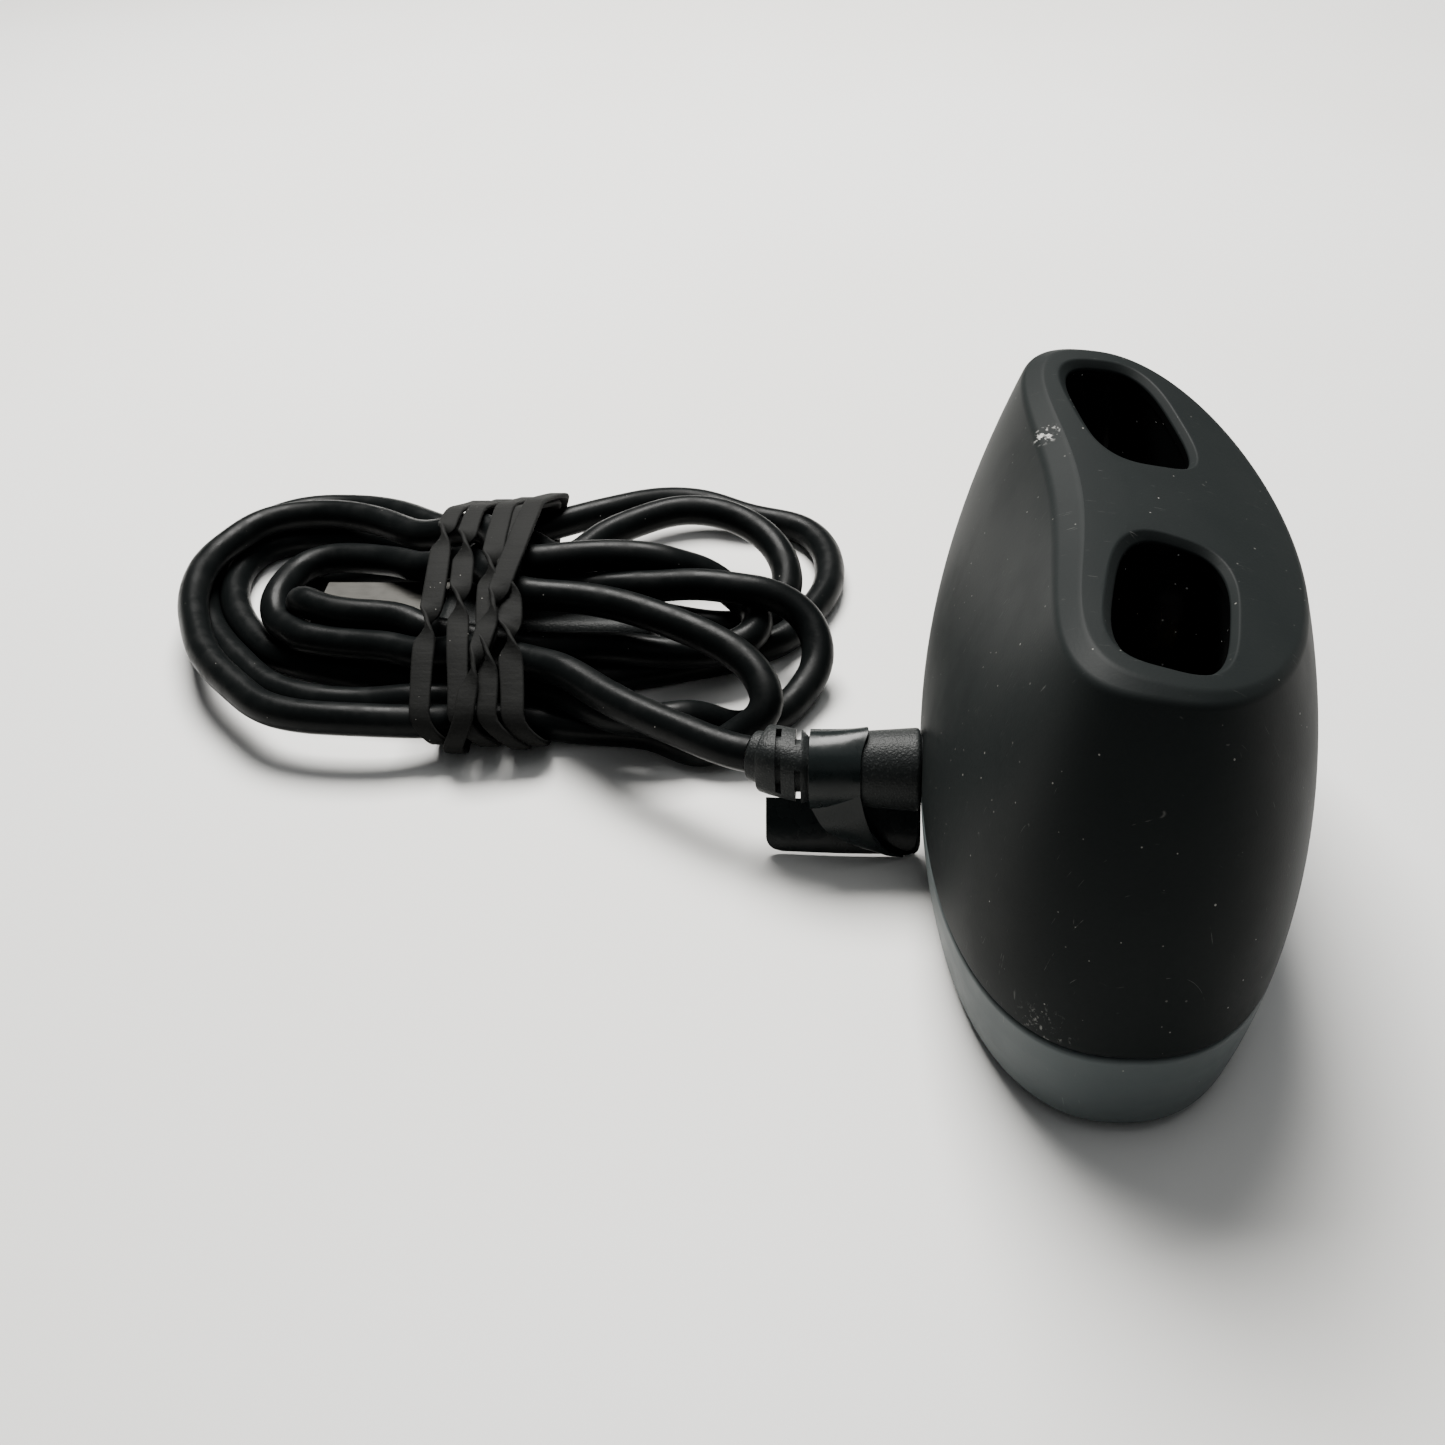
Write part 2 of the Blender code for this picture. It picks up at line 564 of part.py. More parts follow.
def make_power_jack(mats):
    width, front, back, low, high = JACK_BOX
    jack = block("power_jack", (-width / 2, front, low), (width / 2, back, high), mats["block"])
    on_axis = {"axis": "Y", "at": (0, 0, AXIS_Z)}
    collar = [(2.9, back - 2), (2.9, back - 0.4), (JACK_COLLAR_R, back - 0.3), (JACK_COLLAR_R, JACK_FACE_Y)]
    join(jack, turned("collar", collar, mats["block"], **on_axis))
    bore = [(JACK_BORE_R, front + 3), (JACK_BORE_R, JACK_FACE_Y + 1)]
    cut(jack, turned("bore", bore, mats["block"], **on_axis))
    pin = [(JACK_PIN_R, front + 3 + GAP), (JACK_PIN_R, JACK_FACE_Y - 1.5), (JACK_PIN_R * 0.4, JACK_FACE_Y - 1.0)]
    turned("jack_pin", pin, mats["gold"], axis="Y", at=(0, 0, AXIS_Z), sides=12)
    return jack


# ---------------------------------------------------------------- plug
def make_plug(mats):
    on_axis = {"axis": "Y", "at": (0, 0, AXIS_Z)}
    low, high = BARREL_Y
    barrel = [(BARREL_BORE_R, low), (BARREL_R - 0.2, low), (BARREL_R, low + 0.2), (BARREL_R, high),
              (BARREL_BORE_R, high), (BARREL_BORE_R, low)]
    turned("plug_barrel", barrel, mats["steel"], sides=20, **on_axis)
    start, step, end = GRIP_Y
    wide, narrow, neck = GRIP_R
    grip = [(wide - 0.6, start), (wide, start + 0.5), (narrow, step - 0.2), (narrow - 0.2, step), (neck, step),
            (neck, end - 0.3), (neck - 0.3, end)]
    return turned("plug_grip", grip, mats["grip"], sides=28, **on_axis)


def make_strain_relief(mats):
    """A tapered sleeve that leans with the cord, with slots cut from alternate sides."""
    axis = RELIEF_END - RELIEF_START
    rings = []
    for k in (0, 0.12, 0.5, 0.88, 1.0):
        centre = RELIEF_START + axis * k
        lean = k * axis.x / axis.y
        across = Vector((1, -lean, 0)).normalized()
        radius = RELIEF_R[0] + (RELIEF_R[1] - RELIEF_R[0]) * k - (0.3 if k in (0, 1.0) else 0)
        rings.append([centre + radius * (math.cos(a) * across + math.sin(a) * Vector((0, 0, 1)))
                      for a in (2 * math.pi * i / 24 for i in range(24))])
    relief = loft("strain_relief", rings, mats["grip"])
    for k, side in ((0.3, 1), (0.55, -1), (0.8, 1)):
        centre = RELIEF_START + axis * k
        slot = block("slot", (-4.5, -0.45, 0), (4.5, 0.45, 4), mats["grip"])
        lift = 2.7 if side > 0 else -6.7
        slot.matrix_world = Matrix.Translation((centre + Vector((0, 0, lift))) * MM)
        cut(relief, slot)
    return relief


def make_label(mats):
    """A film label: a sleeve round the plug's neck and a flag that leans down to the surface."""
    low, high = LABEL_Y
    inside, outside = LABEL_R, LABEL_R + LABEL_THICKNESS
    sleeve = [(inside, low), (outside, low), (outside, high), (inside, high), (inside, low)]
    label = turned("label_flag", sleeve, mats["label"], axis="Y", at=(0, 0, AXIS_Z), sides=28)
    near, far = FLAG_Y
    foot, head = Vector((FLAG_FOOT[0], 0, FLAG_FOOT[1])), Vector((FLAG_TOP[0], 0, FLAG_TOP[1]))
    up = head - foot
    across = Vector((up.z, 0, -up.x)).normalized() * LABEL_THICKNESS / 2
    height = up.length / 2
    outline = rounded_rectangle((far - near) / 2, height, 1.4, corner=3)
    rings = []
    for side in (-1, 1):
        rings.append([foot + up * (0.5 + v / (2 * height)) + across * side
                      + Vector((0, (near + far) / 2 + u, 0)) for u, v in outline])
    join(label, loft("flag", rings, mats["label"]))
    join(label, block("fold", (0.3, low, head.z - 0.8), (1.0, high, AXIS_Z - inside - 0.2), mats["label"]))
    return label


# ---------------------------------------------------------------- cord
def hank_half_width(y):
    """Half the hank's width where its ends are round."""
    low, high = HANK_Y
    to_end = min(y - low, high - y)
    if to_end >= HANK_HALF_X:
        return HANK_HALF_X
    return math.sqrt(HANK_HALF_X ** 2 - (HANK_HALF_X - to_end) ** 2)


def make_hank(mats):
    """The hank's outer form: round ends, a waist under the tie and a hollow where the plug lies."""
    low, high = HANK_Y
    tie_low, tie_high = TIE_Y
    stations = [(low + end, 0.0) for end in HANK_ENDS]
    stations += [(tie_low - 0.7, 0.0), (tie_low - GAP, TIE_DEPTH)]
    stations += [(tie_high + GAP, TIE_DEPTH), (tie_high + 0.7, 0.0)]
    stations += [(high - end, 0.0) for end in reversed(HANK_ENDS)]
    rings = []
    for y, inset in stations:
        half_x = hank_half_width(y) - inset
        half_z = HANK_TOP / 2 - inset - max(0.0, 1 - min(y - low, high - y) / 8)
        middle_z = HANK_TOP / 2 + 0.1
        rings.append([(HANK_MIDDLE_X + x, y, middle_z + z)
                      for x, z in rounded_rectangle(half_x, half_z, min(half_x, half_z) * 0.8, corner=4)])
    hank = loft("cord_hank", rings, mats["cord"])
    width, start, _, height = USB_GRIP
    beside, beyond, above = USB_CLEARANCE
    hollow = block("hollow", (USB_X - width / 2 - beside, start - beyond, -1),
                   (USB_X + width / 2 + beside, USB_SHELL[2] + beyond, USB_Z + height / 2 + above), mats["cord"])
    cut(hank, hollow)
    return hank


def make_tie(mats):
    """One broad ring that stands for the rubber band's turns round the hank."""
    low, high = TIE_Y
    inset = TIE_DEPTH - GAP
    half_x, half_z = HANK_HALF_X - inset, HANK_TOP / 2 - inset
    outline = {}
    for key, grow in (("inner", 0.0), ("outer", TIE_THICKNESS)):
        outline[key] = rounded_rectangle(half_x + grow, half_z + grow, half_z * 0.8 + grow, corner=6)
    rings = [[(HANK_MIDDLE_X + x, y, HANK_TOP / 2 + 0.1 + z) for x, z in outline[key]]
             for key, y in (("inner", low), ("outer", low), ("outer", high), ("inner", high))]
    return loft("rubber_band", rings, mats["tie"], ring_closed=True)


def make_usb_plug(mats):
    width, start, end, height = USB_GRIP
    rings = []
    for y, inset in ((start, 1.2), (start + 1.5, 0.3), (start + 6, 0.0), (end - 0.4, 0.0), (end, 0.4)):
        rings.append([(USB_X + x, y, USB_Z + z)
                      for x, z in rounded_rectangle(width / 2 - inset, height / 2 - inset, 2.0, corner=3)])
    loft("usb_grip", rings, mats["grip"])
    width, start, end, height = USB_SHELL
    outer = rounded_rectangle(width / 2, height / 2, 0.6, corner=2)
    inner = rounded_rectangle(width / 2 - USB_SHELL_WALL, height / 2 - USB_SHELL_WALL, 0.4, corner=2)
    rings = [[(USB_X + x, y, USB_Z + z) for x, z in outline]
             for outline, y in ((inner, start), (outer, start), (outer, end), (inner, end))]
    loft("usb_shell", rings, mats["steel"], ring_closed=True)
    half = width / 2 - USB_SHELL_WALL - GAP
    block("usb_tongue", (USB_X - half, start, USB_Z + 0.1), (USB_X + half, end - 0.6, USB_Z + 1.5),
          mats["block"])


def make_lead(mats):
    return tube("cord_lead", smooth_route(LEAD_ROUTE, 2.2 * CORD_R), CORD_R, mats["cord"], resolution=2)


# ---------------------------------------------------------------- the whole object
def main():
    for obj in list(bpy.data.objects):
        bpy.data.objects.remove(obj)
    mats = make_materials()
    make_upper_shell(mats)
    make_base_band(mats)
    make_base_plate(mats)
    make_foot_pad(mats)
    make_screws(mats)
    make_ballast(mats)
    make_main_board(mats)
    make_board_parts(mats)
    make_power_jack(mats)
    for side in (-1, 1):
        make_well(side, mats)
        make_contacts(side, mats)
        make_ribbon(side, mats)
    make_plug(mats)
    make_strain_relief(mats)
    make_label(mats)
    make_lead(mats)
    make_hank(mats)
    make_tie(mats)
    make_usb_plug(mats)


main()
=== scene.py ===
"""The look of a two-bay charging dock, with its plug, its blank label and its tied hank of cord.

The forms are worked out in millimetres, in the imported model's own frame, and scaled to metres as they
are built.
"""
import json
import math

import bpy
import numpy as np
from mathutils import Matrix, Vector
from numpy.linalg import norm


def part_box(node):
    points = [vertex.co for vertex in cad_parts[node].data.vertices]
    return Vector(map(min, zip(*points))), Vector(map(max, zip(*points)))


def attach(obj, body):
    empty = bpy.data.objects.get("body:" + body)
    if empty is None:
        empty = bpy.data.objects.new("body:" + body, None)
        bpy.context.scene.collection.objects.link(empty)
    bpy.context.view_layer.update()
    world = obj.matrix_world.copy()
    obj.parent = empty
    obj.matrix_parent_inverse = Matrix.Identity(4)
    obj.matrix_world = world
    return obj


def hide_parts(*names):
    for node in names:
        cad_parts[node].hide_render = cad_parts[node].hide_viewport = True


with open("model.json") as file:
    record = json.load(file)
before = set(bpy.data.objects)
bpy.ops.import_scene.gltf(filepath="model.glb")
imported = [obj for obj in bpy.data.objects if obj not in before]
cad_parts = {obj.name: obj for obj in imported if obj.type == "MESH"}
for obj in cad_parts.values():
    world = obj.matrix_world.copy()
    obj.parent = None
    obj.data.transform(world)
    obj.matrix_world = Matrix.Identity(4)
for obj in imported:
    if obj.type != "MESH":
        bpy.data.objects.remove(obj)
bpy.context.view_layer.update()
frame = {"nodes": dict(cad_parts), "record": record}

MM = 0.001
GAP = 0.3
SHARP = math.radians(34)        # edges that turn by more stay crisp

# The dock's outer form, as in the CAD: each rib is a quadratic Bezier curve in foot, belly and rim.
FOOT_HALF_X, FOOT_HALF_Y, FOOT_POWER, FOOT_Y, FOOT_Z = 44.0, 17.7, 2.3, 1.37, 0.8
BELLY_HALF_X, BELLY_HALF_Y, BELLY_POWER, BELLY_Y, BELLY_Z = 47.6, 23.7, 2.5, 0.47, 21.6
RIM_HALF_X, RIM_FRONT, RIM_BACK, RIM_Y = 36.2, 17.1, 13.1, -0.93
RIM_FRONT_POWER, RIM_BACK_POWER, RIM_FLAT = 2.0, 3.15, 4.6
TOP_Z, TOP_SLOPE, TOP_CROWN_RADIUS = 47.75, 0.194, 58.0
EDGE_FRONT, EDGE_BACK, DROP_FRONT, DROP_BACK = 0.35, 2.9, 0.25, 1.25
WALL, CEILING, SEAM_Z, LIP, LIP_TOP = 2.0, 2.2, 11.2, 0.9, 12.6
BAY_X, BAY_Y, BAY_TURN = 19.7, -2.33, math.radians(10)
BAY_HALF_X, BAY_HALF_Y, BAY_POWER, BAY_BEVEL = 12.5, 6.3, 3.1, 0.8
WELL_FLOOR, WELL_BASE, WELL_WALL, WELL_FLANGE = 24.0, 22.5, 1.2, 1.9
PIN_OFFSET, PIN_R, PIN_HEAD_R, PIN_TIP_Z, SHOULDER_Z = 5.0, 0.8, 1.1, 25.8, 21.2
AXIS_Z, PORT_R = 11.1, 4.1
ROUND, BAY_ROUND = 208, 96      # points round the dock's outline and round a bay
OUTLINE_ANGLES = [2 * math.pi * i / ROUND for i in range(ROUND)]
LIP_INSET = 0.45                # how far the shell's lower edge turns in, and how high its curve starts
CROWN_STEPS = (0.97, 0.93, 0.88, 0.82, 0.75, 0.67, 0.58, 0.48, 0.38, 0.28, 0.18, 0.08)

# The cord, and how it is wound: half turns in order, each from one side of the tie to the other.
# A point of the route without a height lies on the floor.
CORD_R = 2.2
CORD_D = 2 * CORD_R
CORD_STEP = 2.0                 # spacing of the points that are relaxed
RELAX_ROUNDS = 320
EVEN_OUT, PULL_BACK, SAG = 0.24, (0.11, 0.11, 0.06), 0.015      # shares and mm in each round
TIE_LOW, TIE_HIGH, TIE_FLOOR = 69.5, 87.0, 1.0
EXIT = (2.31, 40.35, 11.31)
ROUTE = [
    # lead from the strain relief, into the tie at its near side
    EXIT, (2.85, 42, 11.3), (3.8, 44, 11.3), (5.2, 46.3, 11.2), (7, 48.8, 11.2), (9.5, 52.5, 11.2),
    (14.5, 59, 11), (20.5, 65.5, 10.4), (25, 72.5, 9.6), (28.5, 80, 8.8), (29, 86, 8.2),
    # small far loop over the connector
    (31, 91.5, 7.5), (32.5, 98.5, 6.8), (34.5, 103.5, 6.6), (38, 107, 6.6), (43, 109.5, 6.6),
    (48.5, 110.5, 6.8), (52.5, 109.5, 7), (54.5, 107, 7.2), (54, 103, 7.8), (50.5, 94.5, 9),
    (46.5, 88.5, 10.5), (46, 84, 12.4),
    # first near loop, on top of the others
    (42, 79, 13.2), (35.5, 74, 13.4), (34.5, 66, 13.2), (33, 60, 13), (30, 53.5, 12.6), (26.5, 47, 11.8),
    (23, 42, 10.4), (19, 39.5, 8.8), (16, 39, 7.2), (16, 42, 5.4), (15.5, 46, 3.6), (16.5, 51, 2.6),
    (18.5, 54), (19, 59), (19.5, 64), (20.5, 69.5), (19, 79, 4),
    # widest far loop
    (16.5, 83.5, 5.6), (15.5, 89.5, 6.4), (15.5, 94, 6.6), (16, 100, 6.6), (18.5, 106.5, 6.6),
    (22, 110, 6.6), (26.5, 114.5, 6.6), (32, 118.5, 6.6), (38.5, 121.5, 6.6), (43.5, 123.5, 6.6),
    (49, 124.5, 6.6), (56, 124.5, 6.6), (62, 122, 6.6), (66.5, 119, 6.6), (68, 114.5, 6.8),
    (67.5, 108, 7.4), (63.5, 100.5, 8.4), (56.5, 91, 10), (54.5, 86, 12.4), (49.5, 80, 14.2),
    # near loop that ends short of the dock
    (41, 74, 14.6), (42.5, 68.5, 14.2), (44, 63.5, 13.8), (44.5, 58.5, 13.2), (44, 53.5, 12.2),
    (46.5, 49, 9.6), (44, 45.5, 7.6), (40.5, 42, 6.8), (36, 42, 6.4), (33, 45, 6.2), (32, 50, 6),
    (31.5, 55, 5.8), (32, 60.5, 5.8), (33.5, 66.5, 5.8), (32.5, 73, 6.2), (32.5, 80, 7.4),
    # loop round the connector's shell
    (34, 87, 8.8), (35.5, 92, 8.8), (36, 97.5, 8.8), (37, 101, 8.6), (40.5, 106.5, 6.6), (45, 109.3, 3.8),
    (50.5, 110.3, 2.4), (55.5, 108.3), (58, 103.5), (58, 98), (57, 92, 3.4), (54.5, 86, 6), (50, 81, 9.4),
    (46, 76, 10.4),
    # near loop beside the plug
    (41.5, 72, 10.6), (41.5, 67, 10.6), (41.5, 61, 10.8), (41, 54.5, 11.6), (40, 48, 11.8),
    (39.5, 42.5, 10.6), (39, 36.5, 8.6), (35, 33.5, 6), (31, 33.5, 3.8), (25.5, 36.5, 2.6), (22.5, 38),
    (20, 42.5), (16.5, 49, 4.6), (15.5, 53, 6), (16.5, 58, 6.3), (19.5, 64, 5.2), (23, 70, 3.8),
    (24.5, 80, 3.2),
    # far loop on the floor, under the widest one
    (24.5, 85), (24.5, 91.5), (24.8, 96.5), (25.5, 102.5), (27, 106), (29, 109.5), (31.5, 112),
    (35.5, 115.5), (40, 118.5), (45.5, 122), (50.5, 124.7), (56, 126), (62.5, 126), (69, 124),
    (74.5, 121.5), (78, 115), (77.5, 108.5, 2.8), (73.5, 100.5, 4.2), (67.5, 93.5, 5.4), (63, 85, 5.6),
    (64, 79, 6),
    # near loop on the floor
    (65, 75, 6.6), (67, 71.5, 6.6), (70.5, 65, 6.4), (74.5, 58.5, 5.4), (75.5, 51.5, 4.2), (73, 45, 3),
    (72, 38), (66.5, 34), (59.5, 32.5), (52.5, 33), (45.5, 36), (41, 38), (37.5, 43), (35, 48),
    (33.5, 54.5), (31.5, 60.5), (29.5, 73), (30.5, 80, 2.8),
    # inner far loop
    (29, 87), (30.5, 93.5), (32, 99), (34.5, 106), (36.5, 110), (40, 114.5), (45, 118.5), (51, 121),
    (57, 122), (62, 121.5), (66, 119.5), (68, 115.5), (68, 110), (68, 104), (65, 98, 3), (61.5, 92, 4.8),
    (58.5, 85, 7.4), (56, 78, 9.8),
    # last near loop, back into the connector
    (48, 69, 10.6), (54.5, 65.5, 10.6), (59.5, 60, 10.6), (63, 54.5, 10.4), (63, 48.5, 9.8), (61, 44, 8.8),
    (57.5, 40.5, 7.6), (53, 38.5, 6), (49, 38.5, 4.2), (45.5, 40.5, 2.8), (43.5, 45, 2.6), (42.5, 51, 3.6),
    (42.5, 56.5, 4.7),
]

# Turns of the rubber band: where each runs along Y at five stations round the bundle (far foot, far
# edge, middle of the top, near edge, near foot), how far it stands off, its width, and where along the
# way round its two half twists start.
BAND_TURNS = [
    ((84.6, 85.4, 85.0, 83.9, 82.1), 0.55, 3.1, (0.22, 0.36)),
    ((81.6, 82.0, 81.8, 79.0, 75.6), 0.75, 3.1, (0.24, 0.33)),
    ((78.6, 78.2, 77.7, 75.2, 71.4), 1.05, 3.1, (0.28, 0.40)),
    ((75.8, 75.0, 75.6, 71.8, 69.4), 0.60, 3.5, (0.30, 0.38)),
    ((75.2, 73.6, 74.0, 77.6, 79.6), 1.65, 3.1, (0.34, 0.42)),
]
BAND_THICKNESS = 0.7
TWIST_SPAN = 0.07               # of the way round
TWIST_LIFT, TWIST_NARROWING = 0.35, 0.45
BAND_LOWEST = 0.06

# Worn places on the shell, and the dust everywhere.
RIM_SCUFF, LOW_SCUFF = (12.4, 7.4, 48.4), (-41.5, 8.5, 12.5)
DUST = (0.42, 0.41, 0.38)

# The strain relief: (share of its length, radius) pairs, and the slots as (share, angles) pairs.
RELIEF_START, RELIEF_END = (0.15, 33.6, AXIS_Z), (2.2, 40.0, 11.3)
RELIEF_PROFILE = [(-0.05, 3.5), (0.0, 3.7), (0.03, 3.85), (0.07, 3.95), (0.30, 3.92), (0.60, 3.85),
                  (0.76, 3.72), (0.79, 3.6), (0.805, 3.3), (0.83, 3.12), (0.95, 3.02), (0.985, 2.95),
                  (1.0, 2.8)]
RELIEF_SLOTS = [(0.14, (150, 285)), (0.14, (-30, 105)), (0.50, (70, 205)), (0.50, (250, 385))]
SLOT_FLOOR, SLOT_REACH, SLOT_HALF_WIDTH = 3.1, 6.0, 0.34

# Lights: name, place, what it points at, side of its square, power in watts and colour. Metres here.
LIGHTS = [
    ("key", (0.36, 0.12, 0.56), (0.02, 0.04, 0.0), 0.34, 16.2, (1.0, 0.985, 0.955)),
    ("second", (0.05, -0.15, 0.90), (0.0, 0.03, 0.0), 0.6, 1.8, (0.985, 0.995, 1.0)),
    ("fill", (-0.60, -0.10, 0.80), (0.0, 0.0, 0.02), 0.7, 0.7, (0.95, 0.98, 1.0)),
]
WORLD_COLOR, WORLD_STRENGTH = (0.86, 0.89, 0.92, 1.0), 0.08
FLOOR_HALF, FLOOR_CELLS = 1600.0, 8

# Camera: where it stands, which way it looks and how it is rolled.
CAMERA_AT = (-160.34, 25.34, 136.12)
CAMERA_YAW, CAMERA_PITCH, CAMERA_ROLL = math.radians(6.34), math.radians(-36.284), math.radians(-3.322)
CAMERA_LENS, SENSOR = 43.09, 36.0


# -------- material nodes
class Surface:
    """One Principled material, with short ways to make the nodes that drive it. Lengths are in mm."""

    def __init__(self, name, color, roughness, metallic=0.0, **fixed):
        self.mat = bpy.data.materials.new(name)
        self.mat.use_nodes = True
        self.tree = self.mat.node_tree
        self.shader = self.tree.nodes["Principled BSDF"]
        self.coords = self.tree.nodes.new("ShaderNodeTexCoord").outputs["Object"]
        self.shader.inputs["Metallic"].default_value = metallic
        self.set_color((*color, 1.0))
        self.rough = roughness
        self.shader.inputs["Roughness"].default_value = roughness
        self.normal = None
        for key, value in fixed.items():
            self.shader.inputs[key.replace("_", " ")].default_value = value

    def set_color(self, value):
        self.color = value
        self.shader.inputs["Base Color"].default_value = value

    def node(self, kind, **settings):
        made = self.tree.nodes.new(kind)
        for key, value in settings.items():
            setattr(made, key, value)
        return made

    def link(self, source, target):
        if hasattr(source, "is_output"):
            self.tree.links.new(source, target)
        else:
            target.default_value = source

    def math(self, operation, a, b=0.0):
        node = self.node("ShaderNodeMath", operation=operation)
        self.link(a, node.inputs[0])
        self.link(b, node.inputs[1])
        return node.outputs[0]

    def times(self, a, b):
        return self.math("MULTIPLY", a, b)

    def most(self, a, b):
        return self.math("MAXIMUM", a, b)

    def stretched(self, scale, turn=(0, 0, 0)):
        node = self.node("ShaderNodeMapping")
        node.inputs["Scale"].default_value = scale
        node.inputs["Rotation"].default_value = turn
        self.link(self.coords, node.inputs["Vector"])
        return node.outputs["Vector"]

    def noise(self, size, detail=2.0, rough=0.5, vector=None):
        node = self.node("ShaderNodeTexNoise")
        node.inputs["Scale"].default_value = 1 / (size * MM)
        node.inputs["Detail"].default_value = detail
        node.inputs["Roughness"].default_value = rough
        self.link(vector or self.coords, node.inputs["Vector"])
        return node.outputs["Fac"]

    def range(self, value, low, high, to_low=0.0, to_high=1.0):
        node = self.node("ShaderNodeMapRange", interpolation_type="SMOOTHSTEP")
        self.link(value, node.inputs["Value"])
        for key, number in (("From Min", low), ("From Max", high), ("To Min", to_low), ("To Max", to_high)):
            node.inputs[key].default_value = number
        return node.outputs["Result"]

    def specks(self, cell, radius, share):
        """Small round grains in a few of the cells of a Voronoi pattern: 1 on a grain, else 0."""
        node = self.node("ShaderNodeTexVoronoi")
        node.inputs["Scale"].default_value = 1 / (cell * MM)
        self.link(self.coords, node.inputs["Vector"])
        near = self.range(node.outputs["Distance"], radius * 0.6, radius, 1.0, 0.0)
        split = self.node("ShaderNodeSeparateColor")
        self.link(node.outputs["Color"], split.inputs[0])
        return self.times(near, self.math("GREATER_THAN", split.outputs[0], 1 - share))

    def scratches(self, size, turn, width, share):
        """Fine long scratches: thin bands of a noise stretched along one way, broken up by another."""
        long_noise = self.noise(size, 0.0, 0.5, self.stretched((1.0, 0.06, 0.12), turn))
        line = self.range(self.math("ABSOLUTE", self.math("SUBTRACT", long_noise, 0.5)), 0.0, width, 1.0, 0.0)
        return self.times(line, self.range(self.noise(size * 1.5), 1 - share, 1.10 - share))

    def patch(self, middle, radius):
        """1 near a place on the object, falling to 0 at a radius from it."""
        node = self.node("ShaderNodeVectorMath", operation="DISTANCE")
        self.link(self.coords, node.inputs[0])
        node.inputs[1].default_value = Vector(middle) * MM
        return self.range(node.outputs["Value"], radius * MM * 0.25, radius * MM, 1.0, 0.0)

    def blend_color(self, mask, color):
        node = self.node("ShaderNodeMix", data_type="RGBA")
        self.link(mask, node.inputs["Factor"])
        self.link(self.color, node.inputs[6])
        node.inputs[7].default_value = (*color, 1.0)
        self.color = node.outputs[2]
        self.link(self.color, self.shader.inputs["Base Color"])

    def dust(self, strength, *sizes):
        """Grains of dust in one or two sizes, each given as (cell, radius, share)."""
        grains = [self.specks(*size) for size in sizes]
        mask = self.most(*grains) if len(grains) > 1 else grains[0]
        self.blend_color(self.times(mask, strength), DUST)

    def blend_rough(self, mask, value):
        node = self.node("ShaderNodeMix", data_type="FLOAT")
        self.link(mask, node.inputs["Factor"])
        self.link(self.rough, node.inputs[2])
        node.inputs[3].default_value = value
        self.rough = node.outputs[0]
        self.link(self.rough, self.shader.inputs["Roughness"])

    def bump(self, height, depth):
        """Adds relief: height is 0 to 1, and depth is what 1 stands for in mm."""
        node = self.node("ShaderNodeBump")
        node.inputs["Distance"].default_value = depth * MM
        node.inputs["Strength"].default_value = 1.0
        self.link(height, node.inputs["Height"])
        if self.normal:
            self.link(self.normal, node.inputs["Normal"])
        self.normal = node.outputs["Normal"]
        self.link(self.normal, self.shader.inputs["Normal"])


def shell_material():
    s = Surface("shell_plastic_look", (0.0078, 0.0096, 0.0098), 0.50, Specular_IOR_Level=0.045)
    s.blend_color(s.noise(9.0, 3.0), (0.0108, 0.0128, 0.0126))
    s.bump(s.noise(0.32, 2.0, 0.6), 0.011)
    s.blend_rough(s.range(s.noise(14.0, 4.0, 0.6), 0.42, 0.68), 0.55)
    rub = s.scratches(1.8, (0.5, 0.35, 0.9), 0.006, 0.33)
    rub = s.most(rub, s.scratches(1.3, (0.2, 1.1, 2.2), 0.006, 0.40))
    rub = s.most(rub, s.scratches(1.5, (1.4, 0.3, 0.2), 0.006, 0.31))
    s.blend_color(s.times(rub, 0.32), (0.20, 0.20, 0.19))
    s.blend_rough(s.times(rub, 0.7), 0.7)
    chafe = s.times(s.patch(RIM_SCUFF, 2.3), s.range(s.noise(0.8, 4.0, 0.7), 0.53, 0.60))
    low_chafe = s.times(s.patch(LOW_SCUFF, 4.0), s.range(s.noise(0.6, 4.0, 0.7), 0.56, 0.66))
    s.blend_color(s.times(chafe, 0.75), (0.50, 0.50, 0.48))
    s.blend_color(s.times(low_chafe, 0.5), (0.30, 0.30, 0.28))
    s.dust(s.range(s.noise(9.0, 2.0), 0.40, 0.62, 0.12, 0.5), (2.4, 0.06, 0.50), (1.2, 0.09, 0.22))
    return s.mat


def band_material():
    s = Surface("band_plastic_look", (0.074, 0.088, 0.090), 0.48, Specular_IOR_Level=0.2)
    s.blend_color(s.noise(7.0, 3.0), (0.084, 0.098, 0.099))
    s.bump(s.noise(0.30, 2.0, 0.6), 0.010)
    s.blend_rough(s.range(s.noise(10.0, 4.0, 0.6), 0.42, 0.68), 0.58)
    rub = s.scratches(1.6, (0.4, 0.2, 1.3), 0.006, 0.40)
    s.blend_color(s.times(rub, 0.30), (0.26, 0.27, 0.27))
    s.dust(0.45, (2.8, 0.04, 0.22))
    return s.mat


def well_material():
    s = Surface("well_plastic_look", (0.0040, 0.0045, 0.0045), 0.16, Specular_IOR_Level=0.4)
    s.blend_rough(s.range(s.noise(6.0, 4.0, 0.6), 0.45, 0.7), 0.30)
    s.bump(s.noise(3.0, 2.0), 0.02)
    dust = s.most(s.specks(1.9, 0.07, 0.50), s.specks(1.0, 0.09, 0.25))
    s.blend_color(dust, (0.8, 0.8, 0.76))
    s.blend_rough(dust, 0.8)
    return s.mat


